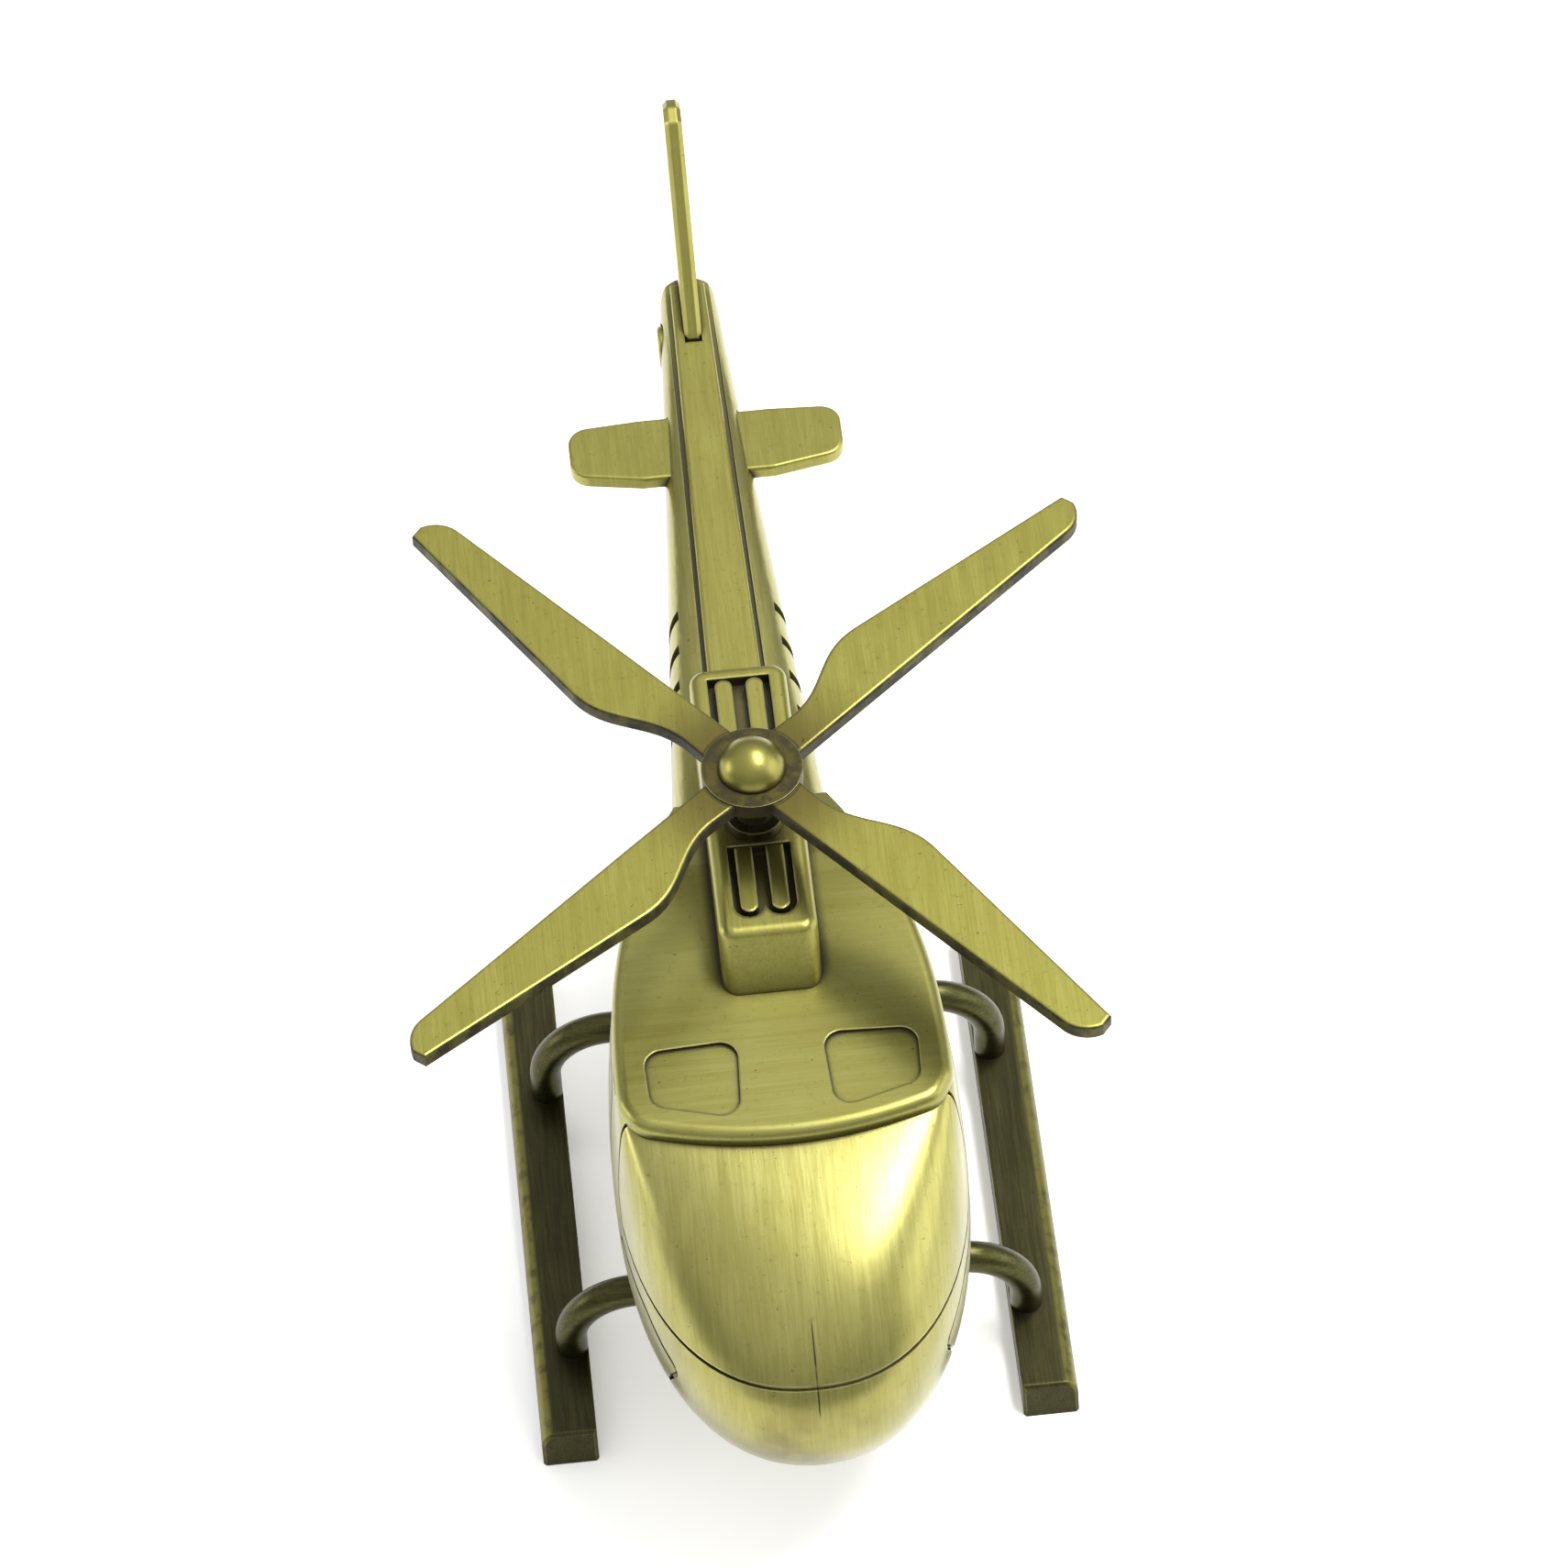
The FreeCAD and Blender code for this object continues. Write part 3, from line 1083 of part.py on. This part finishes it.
def main_rotor():
    """Hub disc and boss with four blades round it, in one casting."""
    owner = body("main_rotor")
    hub = sketch(owner, "hub_disc")
    circle(hub, "Dims.hub_radius")
    pad(owner, hub, "Dims.blade_thickness")
    boss = sketch(owner, "hub_boss")
    circle(boss, "Dims.hub_boss_radius")
    pad(owner, boss, "Dims.hub_boss_drop", reverse=True)
    plan = sketch(owner, "blade_plan")
    plan.addGeometry(blade_edges(), False)
    blade = pad(owner, plan, "Dims.blade_thickness - Dims.hub_step")
    doc.recompute()
    pattern = owner.newObject("PartDesign::PolarPattern", "four_blades")
    pattern.Originals = [blade]
    pattern.Axis = (hub, ["N_Axis"])
    pattern.Angle = 360.0
    pattern.Occurrences = 4
    owner.Tip = pattern
    blade_top = dim("blade_thickness") - dim("hub_step")
    dress(owner, "Fillet", BLADE_EDGE_ROUND, lambda edge: on_level(edge, blade_top))
    bore = sketch(owner, "rotor_bore", lift="-Dims.hub_boss_drop - 1")
    circle(bore, "Dims.rivet_radius + Dims.rotor_clearance")
    pocket(owner, bore, "Dims.blade_thickness + Dims.hub_boss_drop + 2", reverse=True)
    register(owner, "main_rotor", turn=45.0 + dim("rotor_rest_angle"))
    owner.setExpression("Placement.Base.z", "Dims.rotor_top - Dims.blade_thickness")
    return owner


# ---------------------------------------------------------------- build
both_halves = airframe_shell()
fuselage_half("fuselage_port", both_halves, 1)
fuselage_half("fuselage_starboard", both_halves, -1)
roof_cover()
engine_cowling()
boom_spine()
tail_fin()
fin_pin()
tailplane()
tail_boss()
skid("port_skid", 1)
skid("starboard_skid", -1)
belly_plate()
for strut_end in STRUT_ENDS:
    strut_arch(strut_end)
    strut_clamp(strut_end)
belly_screws()
body_screws()
mast_bracket()
cowling_screws()
MAST_BORE = "Dims.rivet_radius + 0.01"
disc("mast_tube", "Dims.mast_radius", MAST_BORE, f"{MAST_TOP} - Dims.mast_foot", "Dims.mast_foot")
disc("mast_collar", "Dims.collar_radius", "Dims.mast_radius + 0.01", "Dims.collar_height", COWL_TOP)
WASHER_RADIUS = "Dims.hub_boss_radius - 0.2"
disc("thrust_washer", WASHER_RADIUS, "Dims.rivet_radius + 0.03", "Dims.washer_thickness", MAST_TOP)
disc("rivet_clip", WASHER_RADIUS, MAST_BORE, "0.6", "Dims.mast_foot - 0.7")
rotor_rivet()
main_rotor()

doc.recompute()

# ---------------------------------------------------------------- checks and export
for obj in doc.Objects:
    faults = [state for state in obj.State if state in ("Invalid", "Error")]
    if faults:
        raise RuntimeError(f"{obj.Name} is {faults}")
for obj in SUBPARTS:
    if obj.Shape.isNull() or not obj.Shape.isValid():
        raise RuntimeError(f"{obj.Label} has a bad shape")
    if not obj.Shape.Solids:
        raise RuntimeError(f"{obj.Label} has no solid")

os.makedirs("parts", exist_ok=True)
for obj in SUBPARTS:
    obj.Shape.exportStep(os.path.join("parts", obj.Label + ".step"))
    box = obj.Shape.BoundBox
    low = f"{box.XMin:7.2f} {box.YMin:7.2f} {box.ZMin:7.2f}"
    high = f"{box.XMax:7.2f} {box.YMax:7.2f} {box.ZMax:7.2f}"
    print(f"{obj.Label:22s} solids {len(obj.Shape.Solids)} volume {obj.Shape.Volume:9.1f} from {low} to {high}")
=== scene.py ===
import json
import math

import bmesh
import bpy
from mathutils import Matrix, Vector

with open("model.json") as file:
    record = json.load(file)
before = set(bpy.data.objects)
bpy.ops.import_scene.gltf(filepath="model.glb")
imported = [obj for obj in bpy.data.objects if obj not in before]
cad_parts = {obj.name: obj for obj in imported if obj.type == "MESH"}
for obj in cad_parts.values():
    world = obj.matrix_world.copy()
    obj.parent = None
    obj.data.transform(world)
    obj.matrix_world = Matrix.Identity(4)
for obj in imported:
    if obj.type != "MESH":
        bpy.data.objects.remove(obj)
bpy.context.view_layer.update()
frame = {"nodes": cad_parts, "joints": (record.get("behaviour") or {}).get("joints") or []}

# Toy helicopter in antique brass: metres, the CAD's own frame, nose towards -Y.
MM = 0.001
NODES = frame["nodes"]
MAST = Vector(frame["joints"][0]["pos_m"])


# ---------------------------------------------------------------- node graph helpers
class Graph:
    """A material's node tree; every call adds nodes and returns the output asked for."""

    def __init__(self, name):
        self.material = bpy.data.materials.new(name)
        self.material.use_nodes = True
        self.tree = self.material.node_tree
        self.tree.nodes.clear()
        coordinates = self.tree.nodes.new("ShaderNodeTexCoord")
        self.place = coordinates.outputs["Object"]
        self.facing = coordinates.outputs["Normal"]

    def add(self, kind, output, settings=None, **inputs):
        node = self.tree.nodes.new(kind)
        for key, value in (settings or {}).items():
            setattr(node, key, value)
        for key, value in inputs.items():
            self.feed(node.inputs[key.replace("_", " ")], value)
        return node.outputs[output]

    def feed(self, socket, value):
        if isinstance(value, bpy.types.NodeSocket):
            self.tree.links.new(value, socket)
        else:
            socket.default_value = value

    def math(self, operation, first, second=0.0):
        node = self.tree.nodes.new("ShaderNodeMath")
        node.operation = operation
        node.use_clamp = operation in ("MULTIPLY", "ADD", "SUBTRACT")
        self.feed(node.inputs[0], first)
        self.feed(node.inputs[1], second)
        return node.outputs[0]

    def product(self, first, *others):
        for other in others:
            first = self.math("MULTIPLY", first, other)
        return first

    def vector_math(self, operation, output, first, second=None):
        node = self.tree.nodes.new("ShaderNodeVectorMath")
        node.operation = operation
        self.feed(node.inputs[0], first)
        if second is not None:
            self.feed(node.inputs[1], second)
        return node.outputs[output]

    def ramp(self, value, low, high, start=0.0, end=1.0):
        """start at or below low, end at or above high; low may be the larger."""
        node = self.tree.nodes.new("ShaderNodeMapRange")
        node.interpolation_type = "SMOOTHSTEP"
        self.feed(node.inputs["Value"], value)
        self.feed(node.inputs["From Min"], low)
        self.feed(node.inputs["From Max"], high)
        self.feed(node.inputs["To Min"], start)
        self.feed(node.inputs["To Max"], end)
        return node.outputs["Result"]

    def mix(self, share, first, second):
        node = self.tree.nodes.new("ShaderNodeMix")
        node.data_type = "RGBA"
        self.feed(node.inputs[0], share)
        self.feed(node.inputs[6], first)
        self.feed(node.inputs[7], second)
        return node.outputs[2]

    def noise(self, scale, detail=3.0, rough=0.55, stretch=(1.0, 1.0, 1.0)):
        """Noise whose grain is stretched: a small number along an axis makes long streaks that way."""
        where = self.add("ShaderNodeMapping", "Vector", Vector=self.place, Scale=stretch)
        return self.add("ShaderNodeTexNoise", "Fac", Vector=where, Scale=scale, Detail=detail,
                        Roughness=rough)

    def axis(self, vector, name):
        return self.add("ShaderNodeSeparateXYZ", name, Vector=vector)

    def openness(self, reach):
        """1 on an open face, less in a groove or a corner that is narrower than reach."""
        return self.add("ShaderNodeAmbientOcclusion", "AO", {"samples": 8}, Distance=reach)

    def edge(self, width):
        """1 on an edge and 0 on a face, and the normal of the rounded edge."""
        rounded = self.add("ShaderNodeBevel", "Normal", {"samples": 6}, Radius=width)
        flat = self.add("ShaderNodeNewGeometry", "Normal")
        alike = self.vector_math("DOT_PRODUCT", "Value", rounded, flat)
        return self.ramp(alike, 0.985, 0.80), rounded

    def from_mast(self):
        """Distance from the rotor's axis."""
        offset = self.vector_math("SUBTRACT", "Vector", self.place, (MAST.x, MAST.y, 0.0))
        level = self.vector_math("MULTIPLY", "Vector", offset, (1.0, 1.0, 0.0))
        return self.vector_math("LENGTH", "Value", level)


# ---------------------------------------------------------------- metals
BRIGHT = (0.580, 0.545, 0.270, 1.0)        # bare brass on worn edges
CLEAN = (0.350, 0.333, 0.082, 1.0)         # brushed brass
DEEP = (0.262, 0.236, 0.046, 1.0)          # brass under a thin patina
BROWN = (0.110, 0.088, 0.024, 1.0)         # thicker patina, also the brown of the painted shade round grooves and under the nose
PATINA_AND_SHADE = (0.034, 0.028, 0.014, 1.0)        # black-brown patina, also the painted shade in grooves, corners and where parts meet

# Brushing directions, as the stretch of the streaks' noise.
ALONG_X = (0.04, 1.0, 1.0)
ALONG_Y = (1.0, 0.04, 1.0)
ALONG_YZ = (1.0, 0.05, 0.05)

# Scales of the surface's grains, in features per metre.
STREAK = 5200.0
LONG_STREAK = 0.22 * STREAK
PITS = 2300.0
MOTTLE = 1500.0
SEAM_WOBBLE = 900.0
HUB_GRIME = 700.0
RUBBING = 620.0
# blotches of the painted shade on the rotor's walls
WALL_SHADE_BLOTCH = 420.0
SEAM_BREAKS = 380.0
# clouds in the painted shade under the nose
NOSE_SHADE_CLOUD = 130.0
PATCH = 95.0

# The hub's patina: distances from the rotor's axis.
HUB_RING = (4.40 * MM, 4.20 * MM)
HUB_STEP_INNER = (4.30 * MM, 4.38 * MM)
HUB_STEP_OUTER = (4.75 * MM, 4.55 * MM)
BLADE_ROOT = (13.0 * MM, 4.5 * MM)

# Where the joint of the two castings shows on the nose, and how wide its line is.
SEAM_LINE = (0.13 * MM, 0.07 * MM)
SEAM_WANDER = 0.07 * MM
SEAM_FOOT = (25.6 * MM, 26.6 * MM)
SEAM_TOP = (33.0 * MM, 31.5 * MM)
SEAM_FRONT = (-47.0 * MM, -50.0 * MM)
SEAM_CLEAR = (0.3 * MM, 0.6 * MM)
# painted shade under the nose: strongest near the middle, weaker beyond these distances
NOSE_SHADE_MIDDLE = (8.0 * MM, 2.0 * MM)

COAT_ROUGHNESS = 0.28
BUMP_STRENGTH = 0.35
BUMP_DEPTH = 0.035 * MM


def nose_underside_shade(g, underside_shade):
    """Painted shade on the nose's downward faces, brown and cloudy, thickest near the middle."""
    under = g.ramp(g.axis(g.facing, "Z"), 0.62, 0.05)
    central = g.ramp(g.math("ABSOLUTE", g.axis(g.place, "X")), *NOSE_SHADE_MIDDLE, 0.30, 1.0)
    cloud = g.ramp(g.noise(NOSE_SHADE_CLOUD, 3.0, 0.6), 0.34, 0.66, 0.25, 1.0)
    return g.math("MULTIPLY", g.math("MULTIPLY", under, central), g.math("MULTIPLY", cloud, underside_shade))


def wall_painted_shade(g, walls):
    """Painted shade on the faces that don't look up, in blotches."""
    wall = g.ramp(g.axis(g.facing, "Z"), 0.92, 0.66)
    patchy = g.ramp(g.noise(WALL_SHADE_BLOTCH, 3.0, 0.6), 0.36, 0.60, 0.80, 1.0)
    return g.product(wall, patchy, walls)


def seam_line(g):
    """The broken dark line where the two castings meet under the windshield."""
    across = g.math("ABSOLUTE", g.axis(g.place, "X"))
    wobble = g.math("MULTIPLY", g.noise(SEAM_WOBBLE, 2.0), SEAM_WANDER)
    line = g.ramp(g.math("ADD", across, wobble), *SEAM_LINE)
    height = g.axis(g.place, "Z")
    low_part = g.math("MULTIPLY", g.ramp(height, *SEAM_FOOT), g.ramp(height, *SEAM_TOP))
    front = g.ramp(g.axis(g.place, "Y"), *SEAM_FRONT)
    broken = g.ramp(g.noise(SEAM_BREAKS, 3.0), 0.36, 0.50, 0.25, 1.0)
    return g.math("MULTIPLY", g.math("MULTIPLY", line, broken), g.math("MULTIPLY", low_part, front))


def antique(name, clean=CLEAN, deep=DEEP, brown=BROWN, dark=PATINA_AND_SHADE, worn=BRIGHT, roughness=0.30,
            brush=ALONG_Y, groove=1.1 * MM, groove_range=(0.80, 0.45), wear=0.8,
            edge_width=0.25 * MM, coat=0.35, walls=0.0, underside_shade=0.0, rounds=0.0, stains=0.30,
            hub=False, seam=False, pitting=0.5):
    """Brushed, patinated and rubbed metal.

    groove is how far patina and painted shade reach out of a groove, walls how dark the painted
    shade on the faces that don't look up is, underside_shade how brown the painted shade on the
    nose's downward faces is, rounds how far the outer shoulders are rubbed bright; hub adds the
    grime round the rotor's hub and seam the joint of the castings."""
    g = Graph(name)
    patches = g.ramp(g.noise(PATCH, 4.0, 0.6), 0.36, 0.66)
    streaks = g.noise(STREAK, 2.0, 0.5, brush)
    long_streaks = g.noise(LONG_STREAK, 3.0, 0.6, brush)
    mottle = g.noise(MOTTLE, 4.0, 0.65)
    open_share = g.openness(groove)
    edge, rounded = g.edge(edge_width)

    tone = g.math("ADD", g.math("MULTIPLY", streaks, 0.62), g.math("MULTIPLY", long_streaks, 0.38))
    tone = g.ramp(tone, 0.30, 0.70, 0.25, 1.0)
    tone = g.math("MULTIPLY", tone, g.ramp(patches, 0.0, 1.0, 0.70, 1.0))
    colour = g.mix(tone, deep, clean)
    stain = g.math("MULTIPLY", g.ramp(mottle, 0.56, 0.76), stains)
    colour = g.mix(stain, colour, brown)
    # painted shade: browner on the nose's downward faces
    if underside_shade:
        colour = g.mix(nose_underside_shade(g, underside_shade), colour, brown)
    # patina and painted shade: browner round grooves and corners
    halo = g.math("MULTIPLY", g.ramp(open_share, 0.95, 0.62), 0.45)
    colour = g.mix(halo, colour, brown)

    # patina and painted shade: darker in grooves, corners and where parts meet, from the occlusion
    shade = g.ramp(open_share, *groove_range)
    if walls:
        # painted shade: darker on the faces that don't look up
        shade = g.math("MAXIMUM", shade, wall_painted_shade(g, walls))
    if hub:
        distance = g.from_mast()
        grime = g.ramp(g.noise(HUB_GRIME, 3.0, 0.6), 0.35, 0.62, 0.42, 0.85)
        ring = g.math("MULTIPLY", g.ramp(distance, *HUB_RING), grime)
        step = g.product(g.ramp(distance, *HUB_STEP_INNER), g.ramp(distance, *HUB_STEP_OUTER), 0.55)
        colour = g.mix(g.ramp(distance, *BLADE_ROOT, 0.0, 0.85), colour, brown)
        shade = g.math("MAXIMUM", shade, g.math("MAXIMUM", ring, step))
    # dark tone: patina in grooves and round the hub, painted shade in grooves, where parts meet and on
    # the walls
    colour = g.mix(shade, colour, dark)
    pits = g.math("MULTIPLY", g.ramp(g.noise(PITS, 2.0, 0.5), 0.70, 0.76), pitting)
    colour = g.mix(pits, colour, dark)

    spared = g.ramp(open_share, 0.62, 0.90)
    rubbed = g.ramp(g.noise(RUBBING, 3.0, 0.6), 0.30, 0.55, 0.35, 1.0)
    bared = g.math("MULTIPLY", g.math("MULTIPLY", edge, rubbed), g.math("MULTIPLY", spared, wear))
    if walls:
        bared = g.math("MULTIPLY", bared, g.ramp(g.axis(g.facing, "Z"), 0.66, 0.92))
    if rounds:
        outward = g.math("ABSOLUTE", g.axis(g.facing, "X"))
        shoulder = g.ramp(g.math("MULTIPLY", outward, g.axis(g.facing, "Z")), 0.10, 0.42)
        bared = g.math("MAXIMUM", bared, g.product(shoulder, rubbed, rounds))
    if seam:
        beside = g.ramp(g.math("ABSOLUTE", g.axis(g.place, "X")), *SEAM_CLEAR)
        bared = g.math("MULTIPLY", bared, beside)
    colour = g.mix(bared, colour, worn)

    relief = g.math("ADD", g.math("MULTIPLY", streaks, 0.35), g.math("MULTIPLY", mottle, 0.25))
    relief = g.math("SUBTRACT", relief, g.math("MULTIPLY", pits, 0.5))
    if seam:
        line = seam_line(g)
        colour = g.mix(line, colour, dark)
        relief = g.math("SUBTRACT", relief, line)

    rough = g.math("ADD", g.math("MULTIPLY", shade, 0.25), roughness)
    rough = g.math("ADD", rough, g.math("MULTIPLY", long_streaks, 0.10))
    bump = g.add("ShaderNodeBump", "Normal", Strength=BUMP_STRENGTH, Distance=BUMP_DEPTH,
                 Height=relief)
    if not seam:
        # The joint of the castings would show as a rounded edge.
        g.feed(bump.node.inputs["Normal"], rounded)
    shader = g.add("ShaderNodeBsdfPrincipled", "BSDF", Base_Color=colour,
                   Metallic=g.ramp(shade, 0.4, 1.0, 1.0, 0.75), Roughness=rough, Normal=bump,
                   Coat_Weight=coat, Coat_Roughness=COAT_ROUGHNESS)
    output = g.tree.nodes.new("ShaderNodeOutputMaterial")
    g.feed(output.inputs["Surface"], shader)
    return g.material


GEAR_CLEAN = (0.060, 0.057, 0.021, 1.0)
GEAR_DEEP = (0.022, 0.019, 0.007, 1.0)
GEAR_BROWN = (0.030, 0.020, 0.008, 1.0)
GEAR_WORN = (0.330, 0.305, 0.075, 1.0)
STRUT_CLEAN = (0.085, 0.084, 0.024, 1.0)
STRUT_DEEP = (0.028, 0.025, 0.008, 1.0)
HULL_CLEAN = (0.365, 0.347, 0.105, 1.0)
ROOF_CLEAN = (0.295, 0.290, 0.085, 1.0)
DOME_CLEAN = (0.250, 0.238, 0.070, 1.0)
# Dark tones of the patina and painted shade in grooves; the rotor's also paints the shade on its
# walls.
COWL_DARK = (0.052, 0.043, 0.018, 1.0)
SPINE_DARK = (0.075, 0.060, 0.020, 1.0)
ROTOR_DARK = (0.022, 0.018, 0.010, 1.0)
BLACK_CLEAN = (0.050, 0.044, 0.026, 1.0)
BLACK_DEEP = (0.020, 0.017, 0.011, 1.0)
STEEL_CLEAN = (0.42, 0.41, 0.39, 1.0)
STEEL_DEEP = (0.25, 0.24, 0.22, 1.0)
STEEL_WORN = (0.62, 0.61, 0.58, 1.0)
ZINC_CLEAN = (0.36, 0.34, 0.27, 1.0)
ZINC_DEEP = (0.24, 0.22, 0.16, 1.0)
ZINC_WORN = (0.50, 0.48, 0.40, 1.0)


def paint(names, material):
    for name in names:
        for slot in NODES[name].material_slots:
            slot.material = material


paint(["fuselage_port", "fuselage_starboard"],
      antique("hull_brass", clean=HULL_CLEAN, roughness=0.27, brush=ALONG_YZ, seam=True, underside_shade=0.95,
              coat=0.5, groove=1.3 * MM, groove_range=(0.72, 0.30)))
paint(["roof_cover"],
      antique("roof_brass", clean=ROOF_CLEAN, roughness=0.33, brush=ALONG_X, pitting=0.7,
              groove=1.5 * MM, groove_range=(0.88, 0.58)))
paint(["engine_cowling"],
      antique("cowling_brass", dark=COWL_DARK, roughness=0.30, brush=ALONG_Y, groove=2.0 * MM,
              groove_range=(0.80, 0.40), edge_width=0.4 * MM))
paint(["boom_spine"],
      antique("spine_brass", dark=SPINE_DARK, roughness=0.32, brush=ALONG_Y, groove=1.0 * MM))
paint(["tail_fin", "tailplane", "tail_boss"],
      antique("tail_brass", roughness=0.30, brush=ALONG_YZ, edge_width=0.18 * MM, wear=0.35))
paint(["main_rotor"],
      antique("rotor_brass", dark=ROTOR_DARK, roughness=0.31, brush=ALONG_Y, walls=1.0, hub=True,
              edge_width=0.16 * MM, wear=0.8, coat=0.1))
paint(["rotor_rivet"],
      antique("dome_brass", clean=DOME_CLEAN, roughness=0.30, brush=ALONG_Y, pitting=0.3,
              groove=1.6 * MM, groove_range=(0.75, 0.35), coat=0.1))
paint(["port_skid", "starboard_skid"],
      antique("gear_brass", clean=GEAR_CLEAN, deep=GEAR_DEEP, brown=GEAR_BROWN, worn=GEAR_WORN,
              roughness=0.34, brush=ALONG_Y, wear=0.8, edge_width=0.35 * MM, coat=0.15,
              rounds=0.50, stains=0.5))
paint(["front_strut_arch", "rear_strut_arch"],
      antique("strut_brass", clean=STRUT_CLEAN, deep=STRUT_DEEP, brown=GEAR_BROWN, worn=GEAR_WORN,
              roughness=0.31, brush=ALONG_X, wear=0.6, coat=0.15, stains=0.5))
paint(["mast_tube", "mast_collar", "thrust_washer"],
      antique("blackened_metal", clean=BLACK_CLEAN, deep=BLACK_DEEP, worn=GEAR_WORN,
              roughness=0.40, wear=0.4))
paint(["rivet_clip", "cowling_screws", "belly_screws", "body_screws", "fin_pin"],
      antique("screw_steel", clean=STEEL_CLEAN, deep=STEEL_DEEP, worn=STEEL_WORN, roughness=0.30))
paint(["mast_bracket", "belly_plate", "front_strut_clamp", "rear_strut_clamp"],
      antique("zinc_plate", clean=ZINC_CLEAN, deep=ZINC_DEEP, worn=ZINC_WORN, roughness=0.42))


# ---------------------------------------------------------------- floor
FLOOR_HALF_WIDTH = 3.0
FLOOR_COLOUR = (0.93, 0.93, 0.925, 1.0)
FLOOR_GLOW = 0.28                          # lifts the soft shadows towards white


def floor():
    mesh = bpy.data.meshes.new("studio_floor")
    grid = bmesh.new()
    bmesh.ops.create_grid(grid, x_segments=8, y_segments=8, size=FLOOR_HALF_WIDTH)
    grid.to_mesh(mesh)
    grid.free()
    obj = bpy.data.objects.new("studio_floor", mesh)
    bpy.context.scene.collection.objects.link(obj)
    material = bpy.data.materials.new("pale_floor")
    material.use_nodes = True
    shader = material.node_tree.nodes["Principled BSDF"]
    shader.inputs["Base Color"].default_value = FLOOR_COLOUR
    shader.inputs["Roughness"].default_value = 0.75
    shader.inputs["Specular IOR Level"].default_value = 0.2
    shader.inputs["Emission Color"].default_value = (1.0, 1.0, 1.0, 1.0)
    shader.inputs["Emission Strength"].default_value = FLOOR_GLOW
    mesh.materials.append(material)


floor()


# ---------------------------------------------------------------- light
def direction(azimuth, elevation):
    """Unit vector away from the object: azimuth 0 in front of the nose, 90 on the port side."""
    a = math.radians(azimuth)
    e = math.radians(elevation)
    return Vector((math.sin(a) * math.cos(e), -math.cos(a) * math.cos(e), math.sin(e)))


def softbox(name, azimuth, elevation, distance, wide, tall, power):
    light = bpy.data.lights.new(name, "AREA")
    light.shape = "RECTANGLE"
    light.size = wide
    light.size_y = tall
    light.energy = power
    obj = bpy.data.objects.new(name, light)
    towards = direction(azimuth, elevation)
    obj.location = towards * distance
    obj.rotation_mode = "QUATERNION"
    obj.rotation_quaternion = towards.to_track_quat("Z", "Y")
    bpy.context.scene.collection.objects.link(obj)


# Name, azimuth and elevation in degrees, distance, width and height in metres, power in watts.
softbox("overhead", 101.0, 70.0, 0.9, 0.55, 0.17, 7.0)
softbox("port_side", 84.0, 22.0, 1.1, 0.90, 0.70, 4.4)
softbox("starboard_low", -100.0, 14.0, 1.2, 0.50, 0.35, 2.5)

# The studio's grey level against the direction's Z: dim low down, bright overhead.
STUDIO_LEVELS = ((0.0, 0.34), (1.0, 1.05), (0.35, 0.50), (0.65, 0.88))


def studio():
    world = bpy.data.worlds.new("studio")
    bpy.context.scene.world = world
    world.use_nodes = True
    sky = world.node_tree
    sky.nodes.clear()
    view_from = sky.nodes.new("ShaderNodeTexCoord")
    parts = sky.nodes.new("ShaderNodeSeparateXYZ")
    sky.links.new(view_from.outputs["Generated"], parts.inputs[0])
    steps = sky.nodes.new("ShaderNodeValToRGB")
    stops = steps.color_ramp.elements
    for index, (position, level) in enumerate(STUDIO_LEVELS):
        stop = stops[index] if index < 2 else stops.new(position)
        stop.position = position
        stop.color = (level, level, level, 1.0)
    sky.links.new(parts.outputs["Z"], steps.inputs["Fac"])
    background = sky.nodes.new("ShaderNodeBackground")
    sky.links.new(steps.outputs["Color"], background.inputs["Color"])
    output = sky.nodes.new("ShaderNodeOutputWorld")
    sky.links.new(background.outputs["Background"], output.inputs["Surface"])


studio()
bpy.context.scene.view_settings.view_transform = "Standard"


# ---------------------------------------------------------------- camera
CAMERA_AZIMUTH = -3.08
CAMERA_ELEVATION = 51.30
CAMERA_ROLL = -3.27
CAMERA_DISTANCE = 0.68388
CAMERA_TARGET = Vector((0.00390, 0.00945, 0.0200))
CAMERA_LENS = 173.85

back = direction(CAMERA_AZIMUTH, CAMERA_ELEVATION)
level_right = Vector((0.0, 0.0, 1.0)).cross(back).normalized()
level_up = back.cross(level_right)
roll = math.radians(CAMERA_ROLL)
right = math.cos(roll) * level_right + math.sin(roll) * level_up
up = back.cross(right)
camera = bpy.data.cameras.new("camera")
camera.lens = CAMERA_LENS
camera.sensor_width = 36.0
camera.clip_start = 0.01
camera.clip_end = 20.0
camera_object = bpy.data.objects.new("camera", camera)
axes = Matrix((right, up, back)).transposed().to_4x4()
camera_object.matrix_world = Matrix.Translation(CAMERA_TARGET + back * CAMERA_DISTANCE) @ axes
bpy.context.scene.collection.objects.link(camera_object)
bpy.context.scene.camera = camera_object
